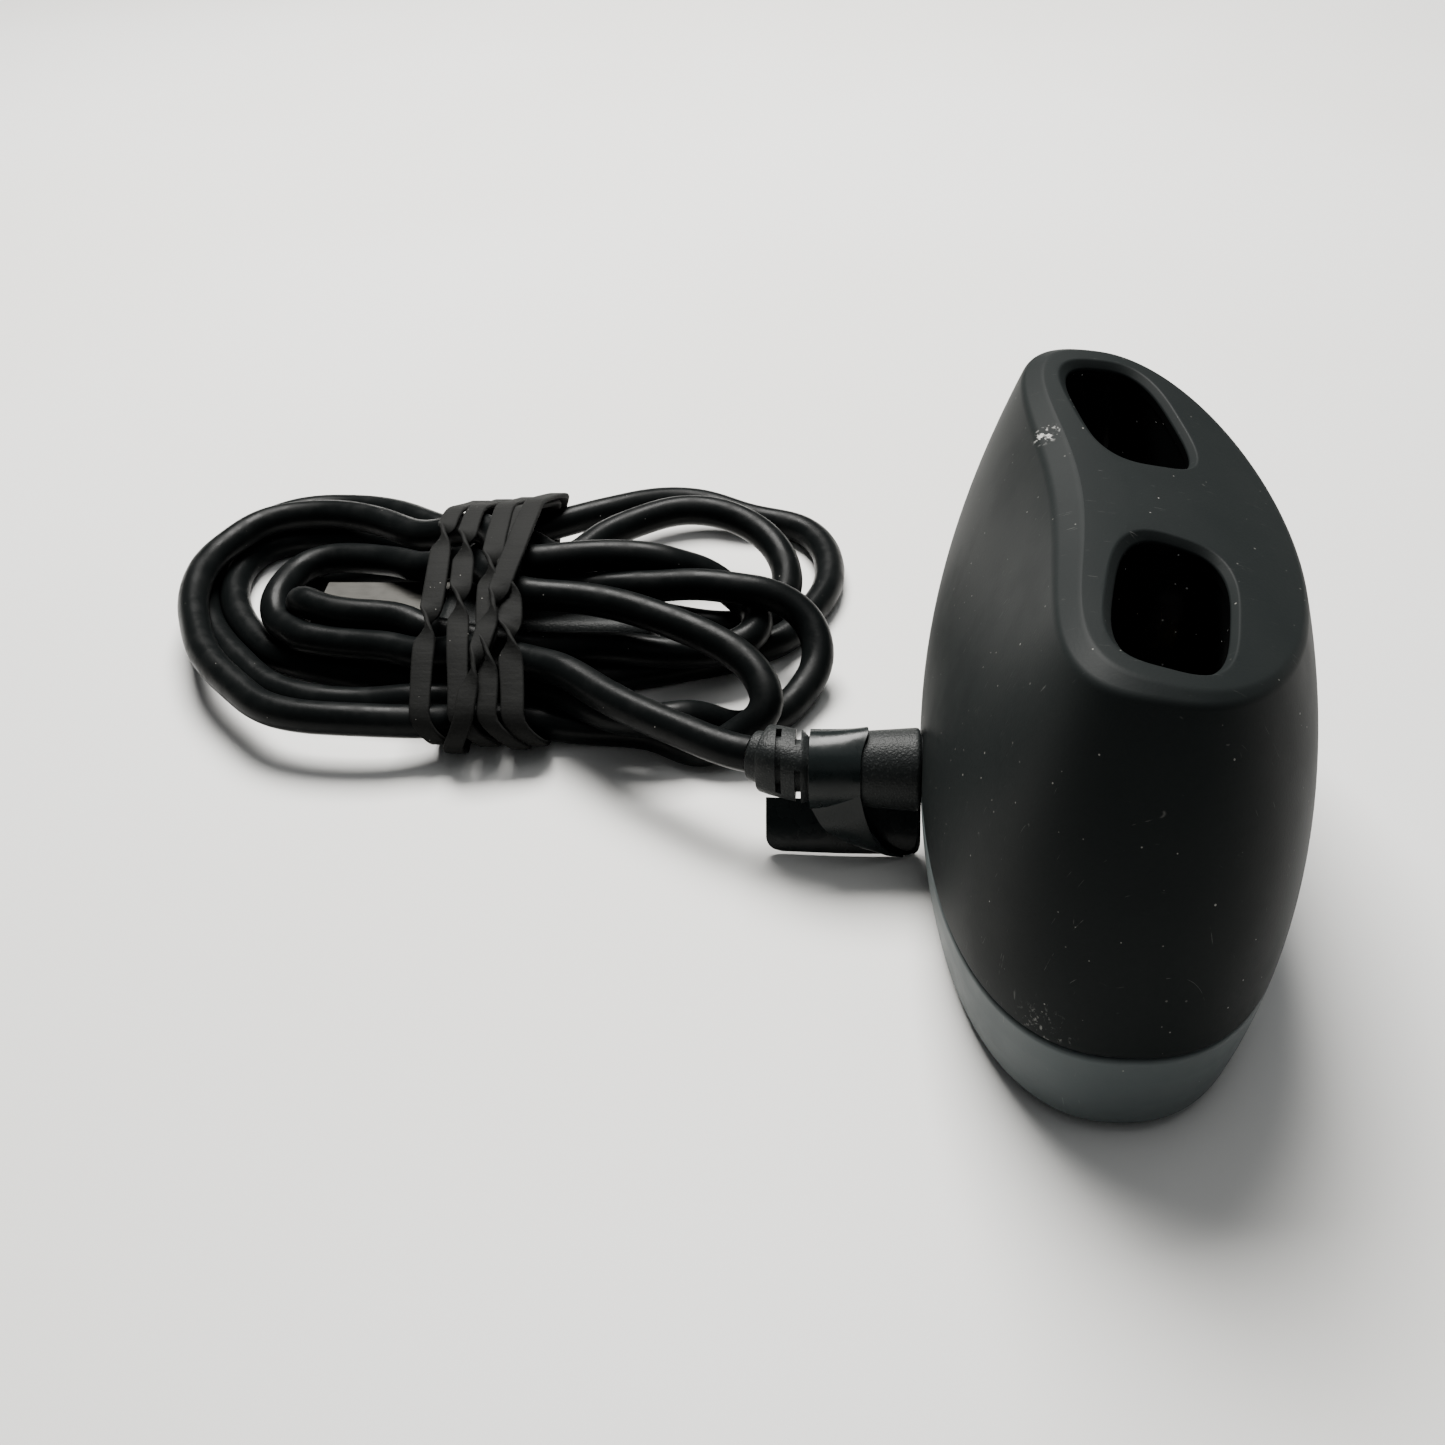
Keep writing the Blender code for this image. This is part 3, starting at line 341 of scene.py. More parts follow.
def grained_material(name, color, rough, grain, depth, light):
    s = Surface(name, color, rough, Specular_IOR_Level=0.12)
    rise = s.noise(grain, 1.0, 0.5)
    s.bump(rise, depth)
    s.blend_color(s.range(rise, 0.58, 0.74, 0.0, 0.55), light)
    s.dust(0.5, (1.9, 0.05, 0.20))
    return s.mat


def cord_material():
    s = Surface("cord_jacket_look", (0.0026, 0.0033, 0.0034), 0.31, Specular_IOR_Level=0.06)
    s.blend_color(s.noise(6.0, 3.0), (0.0034, 0.0040, 0.0040))
    s.blend_rough(s.range(s.noise(3.0, 4.0, 0.6), 0.42, 0.66), 0.46)
    s.bump(s.noise(0.35, 2.0, 0.55), 0.012)
    s.bump(s.noise(9.0, 1.0), 0.03)
    scuff = s.range(s.noise(1.1, 6.0, 0.75), 0.68, 0.74)
    s.blend_color(s.times(scuff, 0.22), (0.20, 0.19, 0.17))
    s.dust(0.5, (2.4, 0.045, 0.30), (1.0, 0.07, 0.07))
    return s.mat


def tie_material():
    s = Surface("tie_rubber_look", (0.0042, 0.0044, 0.0042), 0.74, Specular_IOR_Level=0.10)
    s.blend_color(s.noise(2.2, 4.0, 0.6), (0.0065, 0.0068, 0.0063))
    s.bump(s.noise(0.5, 4.0, 0.65), 0.05)
    s.bump(s.noise(0.9, 2.0, 0.5, s.stretched((1.0, 0.12, 1.0))), 0.06)
    s.dust(0.45, (1.4, 0.07, 0.30), (0.8, 0.09, 0.10))
    return s.mat


def label_material():
    s = Surface("label_film_look", (0.0042, 0.0066, 0.0066), 0.24, Specular_IOR_Level=0.16)
    s.blend_rough(s.range(s.noise(4.0, 4.0, 0.6), 0.40, 0.70), 0.36)
    s.bump(s.noise(5.0, 3.0), 0.12)
    s.bump(s.noise(0.5, 2.0), 0.006)
    s.dust(0.6, (2.2, 0.05, 0.30))
    return s.mat


def metal_material(name, color, rough):
    s = Surface(name, color, rough, 1.0)
    s.blend_rough(s.range(s.noise(0.7, 3.0, 0.6, s.stretched((1.0, 0.1, 1.0))), 0.4, 0.7), rough + 0.16)
    s.blend_color(s.range(s.noise(2.5, 4.0), 0.45, 0.75, 0.0, 0.6), tuple(0.7 * c for c in color))
    s.bump(s.noise(0.25, 2.0, 0.5, s.stretched((1.0, 0.08, 1.0))), 0.004)
    return s.mat


def board_material():
    s = Surface("circuit_board_look", (0.010, 0.085, 0.034), 0.38, IOR=1.5)
    trace = s.node("ShaderNodeTexBrick", offset=0.37, squash=1.0)
    trace.inputs["Scale"].default_value = 1 / (3.0 * MM)
    trace.inputs["Mortar Size"].default_value = 0.06
    s.link(s.coords, trace.inputs["Vector"])
    s.blend_color(s.times(trace.outputs["Fac"], 0.6), (0.018, 0.16, 0.060))
    s.blend_color(s.range(s.noise(2.0, 3.0), 0.45, 0.7, 0.0, 0.5), (0.006, 0.060, 0.024))
    s.bump(trace.outputs["Fac"], 0.03)
    return s.mat


def floor_material():
    s = Surface("floor_look", (0.66, 0.655, 0.635), 0.52, IOR=1.4)
    s.blend_color(s.range(s.noise(160.0, 2.0), 0.35, 0.65), (0.68, 0.68, 0.67))
    s.bump(s.noise(1.2, 3.0), 0.008)
    return s.mat


# Grained plastics and rubbers: colour, roughness, grain size, its depth and the colour of its high spots.
GRAINED = {
    "base_plastic": ((0.013, 0.014, 0.014), 0.58, 0.4, 0.02, (0.024, 0.025, 0.025)),
    "foot_rubber": ((0.009, 0.009, 0.009), 0.82, 0.7, 0.05, (0.022, 0.022, 0.021)),
    "contact_plastic": ((0.018, 0.018, 0.018), 0.50, 0.3, 0.012, (0.030, 0.030, 0.030)),
    "ribbon_plastic": ((0.40, 0.40, 0.38), 0.50, 0.9, 0.02, (0.46, 0.46, 0.44)),
    "plug_plastic": ((0.0085, 0.0100, 0.0100), 0.46, 0.26, 0.075, (0.036, 0.039, 0.038)),
}
# Metals: colour and roughness.
METALS = {
    "contact_metal": ((0.80, 0.56, 0.22), 0.24),
    "steel": ((0.56, 0.57, 0.58), 0.28),
    "connector_shell": ((0.040, 0.039, 0.036), 0.42),
}


def make_looks():
    """One look for each material slot, and one more for the far plug's shell."""
    looks = {
        "shell_plastic": shell_material(),
        "band_plastic": band_material(),
        "well_plastic": well_material(),
        "circuit_board": board_material(),
        "label_film": label_material(),
        "cord_jacket": cord_material(),
        "tie_rubber": tie_material(),
    }
    for slot, settings in GRAINED.items():
        looks[slot] = grained_material(f"{slot}_look", *settings)
    for slot, settings in METALS.items():
        looks[slot] = metal_material(f"{slot}_look", *settings)
    return looks


# -------- mesh helpers
def add_object(name, data):
    obj = bpy.data.objects.new(name, data)
    bpy.context.scene.collection.objects.link(obj)
    return obj


def place(name, verts, faces, mat, sharp=SHARP):
    mesh = bpy.data.meshes.new(name)
    mesh.from_pydata([Vector(v) * MM for v in verts], [], faces)
    mesh.validate()
    mesh.materials.append(mat)
    mesh.shade_smooth()
    mesh.set_sharp_from_angle(angle=sharp)
    return add_object(name, mesh)


def loft(name, rings, mat, ring_closed=False):
    """A closed body through rings of equal count: capped at both ends, or joined end to start."""
    count = len(rings[0])
    verts = [point for ring in rings for point in ring]
    faces = []
    rows = len(rings)
    for row in range(rows if ring_closed else rows - 1):
        low, high = row * count, (row + 1) % rows * count
        for i in range(count):
            j = (i + 1) % count
            faces.append((low + i, low + j, high + j, high + i))
    if not ring_closed:
        faces.append(tuple(reversed(range(count))))
        faces.append(tuple(range((rows - 1) * count, rows * count)))
    obj = place(name, verts, faces, mat)
    face_outwards(obj)
    return obj


def face_outwards(obj):
    """Turns the faces over when the body's volume comes out negative."""
    mesh = obj.data
    mesh.calc_loop_triangles()
    volume = 0.0
    for tri in mesh.loop_triangles:
        a, b, c = (mesh.vertices[i].co for i in tri.vertices)
        volume += a.dot(b.cross(c))
    if volume < 0:
        mesh.flip_normals()


def sheet_body(name, grid, thickness, mat):
    """A thin closed body on a grid of points: the sheet, its back and the rim between them."""
    rows, cols = len(grid), len(grid[0])
    points = np.array([[tuple(p) for p in row] for row in grid], float)
    along = np.gradient(points, axis=0)
    across = np.gradient(points, axis=1)
    normal = np.cross(along, across)
    normal /= np.maximum(norm(normal, axis=2, keepdims=True), 1e-9)
    front = (points + normal * thickness / 2).reshape(-1, 3)
    back = (points - normal * thickness / 2).reshape(-1, 3)
    half = rows * cols
    faces = []
    for i in range(rows - 1):
        for j in range(cols - 1):
            a, b, c, d = i * cols + j, i * cols + j + 1, (i + 1) * cols + j + 1, (i + 1) * cols + j
            faces.append((a, d, c, b))
            faces.append((half + a, half + b, half + c, half + d))
    rim = [j for j in range(cols)] + [i * cols + cols - 1 for i in range(1, rows)]
    rim += [(rows - 1) * cols + j for j in reversed(range(cols - 1))]
    rim += [i * cols for i in reversed(range(1, rows - 1))]
    for a, b in zip(rim, rim[1:] + rim[:1]):
        faces.append((a, b, half + b, half + a))
    obj = place(name, np.vstack([front, back]).tolist(), faces, mat, math.radians(50))
    face_outwards(obj)
    return obj


def cut(target, tool):
    modifier = target.modifiers.new("cut", "BOOLEAN")
    modifier.operation = "DIFFERENCE"
    modifier.solver = "EXACT"
    modifier.object = tool
    bpy.context.view_layer.update()
    mesh = bpy.data.meshes.new_from_object(target.evaluated_get(bpy.context.evaluated_depsgraph_get()))
    target.modifiers.clear()
    old, target.data = target.data, mesh
    bpy.data.meshes.remove(old)
    bpy.data.objects.remove(tool)
    mesh.shade_smooth()
    mesh.set_sharp_from_angle(angle=SHARP)


def weight_normals(obj):
    obj.modifiers.new("weighted", "WEIGHTED_NORMAL").keep_sharp = True


def turned(name, profile, mat, axis="Z", at=(0, 0, 0), sides=64):
    """A body turned from (radius, height) pairs: open profiles are capped, a closed one is a ring."""
    closed = profile[0] == profile[-1]
    rings = []
    for radius, height in profile[:-1] if closed else profile:
        ring = []
        for i in range(sides):
            angle = 2 * math.pi * (i + 0.5) / sides
            across, up = radius * math.cos(angle), radius * math.sin(angle)
            point = (across, up, height) if axis == "Z" else (across, height, up)
            ring.append(Vector(point) + Vector(at))
        rings.append(ring)
    return loft(name, rings, mat, ring_closed=closed)


def softened(points, radius, steps=4, closed=False):
    """A polyline whose corners are replaced by short curves."""
    count = len(points)
    result = [] if closed else [points[0]]
    for i in range(0 if closed else 1, count if closed else count - 1):
        here = np.array(points[i], float)
        before, after = np.array(points[i - 1], float) - here, np.array(points[(i + 1) % count], float) - here
        reach_in = min(radius, 0.42 * norm(before)) / max(norm(before), 1e-9)
        reach_out = min(radius, 0.42 * norm(after)) / max(norm(after), 1e-9)
        for k in range(steps + 1):
            t = k / steps
            point = here + before * reach_in * (1 - t) ** 2 + after * reach_out * t ** 2
            result.append(tuple(float(number) for number in point))
    if not closed:
        result.append(points[-1])
    return result


def rounded_rectangle(half_x, half_y, radius, corner=8):
    points = []
    for quarter in range(4):
        sx, sy = (1, -1, -1, 1)[quarter], (1, 1, -1, -1)[quarter]
        for i in range(corner + 1):
            angle = math.radians(90) * (quarter + i / corner)
            points.append((sx * (half_x - radius) + radius * math.cos(angle),
                           sy * (half_y - radius) + radius * math.sin(angle)))
    return points


# -------- the dock's outer form
def superellipse(angle, power):
    c, s = math.cos(angle), math.sin(angle)
    reach = (abs(c) ** power + abs(s) ** power) ** (-1 / power)
    return c * reach, s * reach


def top_height(x, y):
    return TOP_Z + TOP_SLOPE * y - y * y / (2 * TOP_CROWN_RADIUS)


def rim_point(angle, inset):
    at_back = math.sin(angle) > 0
    x, y = superellipse(angle, RIM_BACK_POWER if at_back else RIM_FRONT_POWER)
    drawn_in = RIM_FLAT * max(0.0, 1 - x * x) ** 1.5 if at_back else 0.0
    depth = (RIM_BACK if at_back else RIM_FRONT) - inset
    return (RIM_HALF_X - inset) * x, RIM_Y + depth * y - drawn_in


def rearward(angle):
    return 0.5 + 0.5 * math.sin(angle)


def wall_curve(angle, inset):
    fx, fy = superellipse(angle, FOOT_POWER)
    bx, by = superellipse(angle, BELLY_POWER)
    rx, ry = rim_point(angle, inset)
    drop = CEILING + DROP_FRONT if inset else DROP_FRONT + (DROP_BACK - DROP_FRONT) * rearward(angle)
    foot = Vector(((FOOT_HALF_X - inset) * fx, FOOT_Y + (FOOT_HALF_Y - inset) * fy, FOOT_Z))
    belly = Vector(((BELLY_HALF_X - inset) * bx, BELLY_Y + (BELLY_HALF_Y - inset) * by, BELLY_Z))
    return foot, belly, Vector((rx, ry, top_height(rx, ry) - drop))


def wall_point(angle, t, inset=0.0):
    foot, belly, rim = wall_curve(angle, inset)
    return (1 - t) ** 2 * foot + 2 * t * (1 - t) * belly + t ** 2 * rim


def wall_parameter(angle, height, inset=0.0):
    foot, belly, rim = (point.z for point in wall_curve(angle, inset))
    a, b, c = foot - 2 * belly + rim, 2 * (belly - foot), height - foot
    return 2 * c / (b + math.sqrt(b * b + 4 * a * c))


def level_ring(inset, height):
    ring = []
    for angle in OUTLINE_ANGLES:
        point = wall_point(angle, wall_parameter(angle, height, inset), inset)
        ring.append(Vector((point.x, point.y, height)))
    return ring


def crown_point(angle, inset_front, inset_back, shrink, drop):
    inset = inset_front + (inset_back - inset_front) * rearward(angle)
    x, y = rim_point(angle, inset)
    x, y = x * shrink, RIM_Y + (y - RIM_Y) * shrink
    return Vector((x, y, top_height(x, y) - drop))


def corner_curve(before, corner, after, radius, steps=4):
    """Points of a short curve that rounds a corner, given the directions on either side."""
    return [corner + before.normalized() * radius * (1 - k / steps) ** 2
            + after.normalized() * radius * (k / steps) ** 2 for k in range(steps + 1)]


def shell_rib(angle):
    """One rib of the shell's outside, from the seam over the rounded rim to the middle of the top."""
    bottom = SEAM_Z + GAP / 2
    start = wall_parameter(angle, bottom)
    lip = wall_point(angle, wall_parameter(angle, bottom, LIP_INSET), LIP_INSET)
    lip.z = bottom
    edge = wall_point(angle, wall_parameter(angle, bottom + LIP_INSET))
    first = wall_point(angle, start)
    points = [lip] + corner_curve(lip - first, first.lerp(edge, 0.25), edge - first, 0.22, 3)
    wall_steps = 22
    for k in range(1, wall_steps):
        points.append(wall_point(angle, start + (1 - start) * (0.015 + 0.985 * k / wall_steps)))
    rim = wall_point(angle, 1.0)
    shoulder = crown_point(angle, EDGE_FRONT, EDGE_BACK, 1.0, 0.0)
    inner = crown_point(angle, EDGE_FRONT, EDGE_BACK, 0.97, 0.0)
    width = (shoulder - rim).length
    rim_round = 0.40 * width if width < 1 else 0.35 + 0.1 * width
    shoulder_round = 0.40 * width if width < 1 else 0.25 + 0.08 * width
    points += corner_curve(points[-1] - rim, rim, shoulder - rim, rim_round)
    points += corner_curve(rim - shoulder, shoulder, inner - shoulder, shoulder_round)
    for k in CROWN_STEPS:
        points.append(crown_point(angle, EDGE_FRONT, EDGE_BACK, k, 0.0))
    return points


def make_shell(looks):
    mat = looks["shell_plastic"]
    ribs = [shell_rib(angle) for angle in OUTLINE_ANGLES]
    outer = [[rib[row] for rib in ribs] for row in range(len(ribs[0]))]
    bottom = SEAM_Z + GAP / 2
    inner = []
    for k in (0, 0.3, 0.6, 0.85, 1.0):
        ring = []
        for angle in OUTLINE_ANGLES:
            start = wall_parameter(angle, bottom, WALL)
            ring.append(wall_point(angle, start + (1 - start) * k, WALL))
        inner.append(ring)
    ceiling = [[crown_point(angle, WALL + EDGE_FRONT, WALL + EDGE_BACK * 0.5, k, CEILING)
                for angle in OUTLINE_ANGLES] for k in (0.08, 0.5, 1.0)]
    shell = loft("casing_top", ceiling + inner[::-1] + outer, mat)
    shell.data.materials.append(looks["well_plastic"])
    cut(shell, port_cutter(mat))
    for side in (-1, 1):
        cut(shell, bay_cutter(side, looks))
    weight_normals(shell)
    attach(shell, "dock")
    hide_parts("upper_shell")


def port_cutter(mat):
    profile = [(PORT_R, 13.0), (PORT_R, 24.0)]
    return turned("port_cutter", profile, mat, axis="Y", at=(0, 0, AXIS_Z), sides=72)


def make_band(looks):
    top = SEAM_Z - GAP / 2
    lip = WALL + GAP
    profile = [(WALL, 0.9), (0.5, 0.9), (0.0, 1.5), (0.0, 4.5), (0.0, 8.0), (0.0, top - 0.35), (0.4, top),
               (lip, top), (lip, LIP_TOP - 0.2), (lip + 0.2, LIP_TOP), (lip + LIP, LIP_TOP), (lip + LIP, 9.0),
               (WALL, 7.8)]
    profile = softened(profile, 0.3, 2, closed=True)
    band = loft("base_ring", [level_ring(*pair) for pair in profile], looks["band_plastic"], ring_closed=True)
    cut(band, port_cutter(looks["band_plastic"]))
    weight_normals(band)
    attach(band, "dock")
    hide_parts("base_band")


# -------- bays, wells and contacts
def bay_frame(side, x, y):
    cos, sin = math.cos(BAY_TURN), math.sin(BAY_TURN)
    return side * (BAY_X + x * cos - y * sin), BAY_Y + x * sin + y * cos


def bay_ring(side, outset, drop=None, height=None):
    ring = []
    for i in range(BAY_ROUND):
        u, v = superellipse(2 * math.pi * i / BAY_ROUND, BAY_POWER)
        x, y = bay_frame(side, (BAY_HALF_X + outset) * u, (BAY_HALF_Y + outset) * v)
        ring.append((x, y, top_height(x, y) - drop if height is None else height))
    return ring


def bay_cutter(side, looks):
    """Cuts a bay and its bevelled edge; the walls below the bevel take the well's gloss."""
    edge = softened([(-BAY_BEVEL, 2.2), (-BAY_BEVEL, 0.88), (0.0, 0.0), (0.9, -0.02)], 0.2, 3)
    pairs = [(-BAY_BEVEL, 6.0)] + edge[:-1] + [(1.0, -1.2)]
    rings = [bay_ring(side, outset, drop=drop) for outset, drop in pairs]
    cutter = loft("bay_cutter", rings, looks["shell_plastic"])
    cutter.data.materials.append(looks["well_plastic"])
    for face in cutter.data.polygons[:2 * BAY_ROUND]:
        face.material_index = 1
    return cutter


def make_well(side, looks):
    word = "left" if side < 0 else "right"
    mat = looks["well_plastic"]
    inner = 0.1 - BAY_BEVEL
    under = CEILING + GAP
    outside, flange = inner + WELL_WALL, inner + WELL_FLANGE
    rings = []
    for k in range(9):
        bend = math.radians(90) * k / 8
        outset = inner - 1.6 + 1.6 * math.sin(bend)
        rings.append(bay_ring(side, outset, height=WELL_FLOOR + 1.8 * (1 - math.cos(bend))))
    rings += [bay_ring(side, inner, height=height) for height in (30.0, 36.0)]
    for outset, drop in ((inner, under), (flange, under), (flange, under + 1.1), (outside, under + 1.6)):
        rings.append(bay_ring(side, outset, drop=drop))
    rings.append(bay_ring(side, outside, height=WELL_BASE + 0.8))
    rings.append(bay_ring(side, outside - 0.8, height=WELL_BASE))
    well = loft(f"{word}_bay_well", rings, mat)
    for where in (-1, 1):
        x, y = bay_frame(side, where * PIN_OFFSET, 0)
        hole = [(PIN_R + GAP, WELL_BASE - 1), (PIN_R + GAP, WELL_FLOOR + 1)]
        cut(well, turned("hole", hole, mat, at=(x, y, 0), sides=32))
    weight_normals(well)
    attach(well, "dock")
    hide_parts(f"{word}_well")


def make_contact_pins(side, looks):
    word = "left" if side < 0 else "right"
    for where, letter in ((-1, "inner"), (1, "outer")):
        x, y = bay_frame(side, where * PIN_OFFSET, 0)
        head_top = SHOULDER_Z - GAP
        profile = [(0.3, head_top - 0.8), (PIN_HEAD_R, head_top - 0.8), (PIN_HEAD_R, head_top),
                   (PIN_R, head_top), (PIN_R, PIN_TIP_Z - 0.6)]
        for k in range(1, 8):
            bend = math.radians(90) * k / 8
            profile.append((PIN_R * math.cos(bend), PIN_TIP_Z - 0.6 + 0.6 * math.sin(bend)))
        profile.append((0.05, PIN_TIP_Z))
        pin = turned(f"{word}_contact_tip_{letter}", profile, looks["contact_metal"], at=(x, y, 0), sides=32)
        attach(pin, f"{word}_{letter}_contact")
        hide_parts(f"{word}_pin_{letter}")


# -------- plug, strain relief and label
def make_plug(looks):
    on_axis = {"axis": "Y", "at": (0, 0, AXIS_Z)}
    outline = [(3.85, 19.6), (3.9, 20.25), (4.6, 20.3), (4.9, 20.6), (4.45, 27.1), (4.1, 27.3), (4.1, 33.1),
               (3.7, 33.3)]
    grip = turned("plug_body", softened(outline, 0.35, 4), looks["plug_plastic"], sides=96, **on_axis)
    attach(grip, "dock")
    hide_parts("plug_grip")


def slot_cutter(centre, angles, mat):
    """A part of a flat ring that stands across the Y axis, to cut a slot round one side."""
    inner, outer, half_width = SLOT_FLOOR, SLOT_REACH, SLOT_HALF_WIDTH
    rings = []
    steps = 20
    for k in range(steps + 1):
        angle = math.radians(angles[0] + (angles[1] - angles[0]) * k / steps)
        out = Vector((math.cos(angle), 0, math.sin(angle)))
        rings.append([centre + out * r + Vector((0, w, 0)) for r, w in
                      ((inner, -half_width), (outer, -half_width), (outer, half_width), (inner, half_width))])
    return loft("slot_cutter", rings, mat)


def make_strain_relief(looks):
    mat = looks["plug_plastic"]
    start = Vector(RELIEF_START)
    axis = Vector(RELIEF_END) - start
    rings = []
    for k, radius in RELIEF_PROFILE:
        centre = start + axis * k
        lean = k * axis.x / axis.y
        across = Vector((1, -lean, 0)).normalized()
        ring = []
        for i in range(96):
            u, v = superellipse(2 * math.pi * i / 96, 2.6 if k < 0.8 else 2.0)
            ring.append(centre + radius * (u * across + v * Vector((0, 0, 1))))
        rings.append(ring)
    relief = loft("cord_strain_relief", rings, mat)
    for k, angles in RELIEF_SLOTS:
        cut(relief, slot_cutter(start + axis * k, angles, mat))
    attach(relief, "dock")
    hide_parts("strain_relief")


def spline(points, count):
    """Evenly numbered points on a smooth curve through a few given ones."""
    points = np.array(points, float)
    padded = np.vstack([2 * points[0] - points[1], points, 2 * points[-1] - points[-2]])
    result = []
    for i in range(count):
        place_on = (len(points) - 1) * i / (count - 1)
        k = min(int(place_on), len(points) - 2)
        t = place_on - k
        a, b, c, d = padded[k:k + 4]
        result.append(0.5 * (2 * b + (c - a) * t + (2 * a - 5 * b + 4 * c - d) * t ** 2
                             + (3 * b - a - 3 * c + d) * t ** 3))
    return np.array(result)


def make_label(looks):
    """A blank film: a wrap round the neck, a flag behind it, and a sheet that curls down in front."""
    mat = looks["label_film"]
    pieces = []
    # the wrap, whose overlap lifts off into a point on top, at its plug end
    turns, along = 84, 16
    grid = []
    for i in range(turns + 1):
        angle = math.radians(-118 + 348 * i / turns)
        past = max(0.0, (math.degrees(angle) - 62) / 60)
        row = []
        for j in range(along + 1):
            t = j / along
            y = 33.1 - 5.9 * t
            lift = 0.75 * t ** 2 * math.exp(-((math.degrees(angle) - 84) / 22) ** 2)
            widen = 0.9 * t * math.exp(-((math.degrees(angle) - 84) / 26) ** 2)
            radius = 4.52 + 0.12 * min(past, 1.0) + lift
            row.append((radius * math.cos(angle), y - widen, AXIS_Z + radius * math.sin(angle)))
        grid.append(row)
    pieces.append(sheet_body("label_wrap", grid, 0.22, mat))
    # the flag behind, with its foot on the floor
    grid = []
    foot, head = Vector((-2.4, 0, 0.35)), Vector((0.4, 0, 6.3))
    for i in range(25):
        v = i / 24
        line = foot.lerp(head, v) + Vector((-0.35 * math.sin(math.pi * v), 0, 0))
        corner = 1.9
        rise = v * 6.4
        drawn = corner - math.sqrt(max(0.0, corner ** 2 - max(0.0, corner - rise) ** 2))
        row = []
        for j in range(41):
            t = j / 40
            y = (20.1 + drawn * 0.4) + (38.5 - drawn - 20.1 - drawn * 0.4) * t
            row.append((line.x - 0.25 * math.sin(3.0 * t + 0.4), y, line.z))
        grid.append(row)
    pieces.append(sheet_body("label_rear_flag", grid, 0.25, mat))
    # the sheet in front: it leaves the wrap's near side and narrows down to a fold on the floor
    left = [(-3.0, 33.0, 7.7), (-4.4, 31.2, 5.4), (-4.1, 27.8, 2.9), (-3.4, 24.6, 1.2), (-2.9, 22.4, 0.5)]
    right = [(-4.6, 27.3, 11.2), (-4.9, 26.6, 7.6), (-4.7, 25.6, 4.4), (-4.0, 24.0, 1.8), (-3.1, 22.0, 0.6)]
    grid = []
    for a, b in zip(spline(left, 31), spline(right, 31)):
        row = []
        for j in range(15):
            t = j / 14
            bulge = 0.35 * math.sin(math.pi * t)
            p = a * (1 - t) + b * t
            row.append((p[0] - bulge, p[1], p[2]))
        grid.append(row)
    pieces.append(sheet_body("label_front_sheet", grid, 0.22, mat))
    # the loop that the fold makes beside the plug, seen on edge
    loop = [(-4.7, 25.9, 5.2), (-4.1, 24.1, 2.0), (-3.2, 22.2, 0.75), (-2.6, 20.9, 0.9), (-2.2, 20.35, 2.6),
            (-1.5, 20.3, 4.6), (-0.9, 20.7, 6.2)]
    grid = []
    for i, (x, y, z) in enumerate(spline(loop, 41)):
        swell = 0.4 + 0.6 * math.sin(math.pi * i / 40)
        grid.append([(x + 1.5 * (t - 0.1) * swell, y + 0.15 * t, z + 0.1 * t)
                     for t in (0, 0.2, 0.4, 0.6, 0.8, 1.0)])
    pieces.append(sheet_body("label_curl", grid, 0.2, mat))
    for piece in pieces:
        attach(piece, "dock")
    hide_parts("label_flag")


# -------- cord
def along_route(route, step):
    """Even points on a smooth curve through the route, with tangents weighed by the chords."""
    w = np.array(route, float)
    w = np.vstack([2 * w[0] - w[1], w, 2 * w[-1] - w[-2]])
    out = [w[1]]
    for a, b, c, d in zip(w, w[1:], w[2:], w[3:]):
        before, chord, after = (max(norm(v), 1e-6) for v in (b - a, c - b, d - c))
        m1 = ((b - a) / before * chord + (c - b) / chord * before) / (before + chord)
        m2 = ((c - b) / chord * after + (d - c) / after * chord) / (chord + after)
        count = max(1, round(chord / 0.5))
        for i in range(1, count + 1):
            t = i / count
            out.append((2 * t ** 3 - 3 * t ** 2 + 1) * b + (t ** 3 - 2 * t ** 2 + t) * chord * m1
                       + (3 * t ** 2 - 2 * t ** 3) * c + (t ** 3 - t ** 2) * chord * m2)
    out = np.array(out)
    return evenly(out, round(path_length(out) / step) + 1)


def path_length(points):
    return float(norm(np.diff(points, axis=0), axis=1).sum())


def evenly(points, count):
    at = np.concatenate([[0], np.cumsum(norm(np.diff(points, axis=0), axis=1))])
    wanted = np.linspace(0, at[-1], count)
    return np.stack([np.interp(wanted, at, points[:, k]) for k in range(3)], 1)


def bends(points):
    second = np.zeros_like(points)
    second[1:-1] = 0.5 * (points[:-2] + points[2:]) - points[1:-1]
    return second


def floor_under(points):
    """The cord rests on the floor, and inside the tie on the band that passes beneath it."""
    inside = np.minimum(points[:, 1] - TIE_LOW, TIE_HIGH - points[:, 1])
    return CORD_R + TIE_FLOOR * np.clip(1 + inside / 7.0, 0, 1)


def push_apart(points, pairs, held):
    first, second = pairs
    gap = points[first] - points[second]
    distance = norm(gap, axis=1) + 1e-9
    hit = distance < CORD_D
    first, second, gap, distance = first[hit], second[hit], gap[hit], distance[hit]
    if not len(first):
        return
    push = gap / distance[:, None] * ((CORD_D - distance) * 0.25)[:, None]
    move = np.zeros_like(points)
    np.add.at(move, first, push)
    np.add.at(move, second, -push)
    touching = np.bincount(np.concatenate([first, second]), minlength=len(points)).clip(1)
    move /= np.sqrt(touching)[:, None]
    move[held] = 0
    points += move


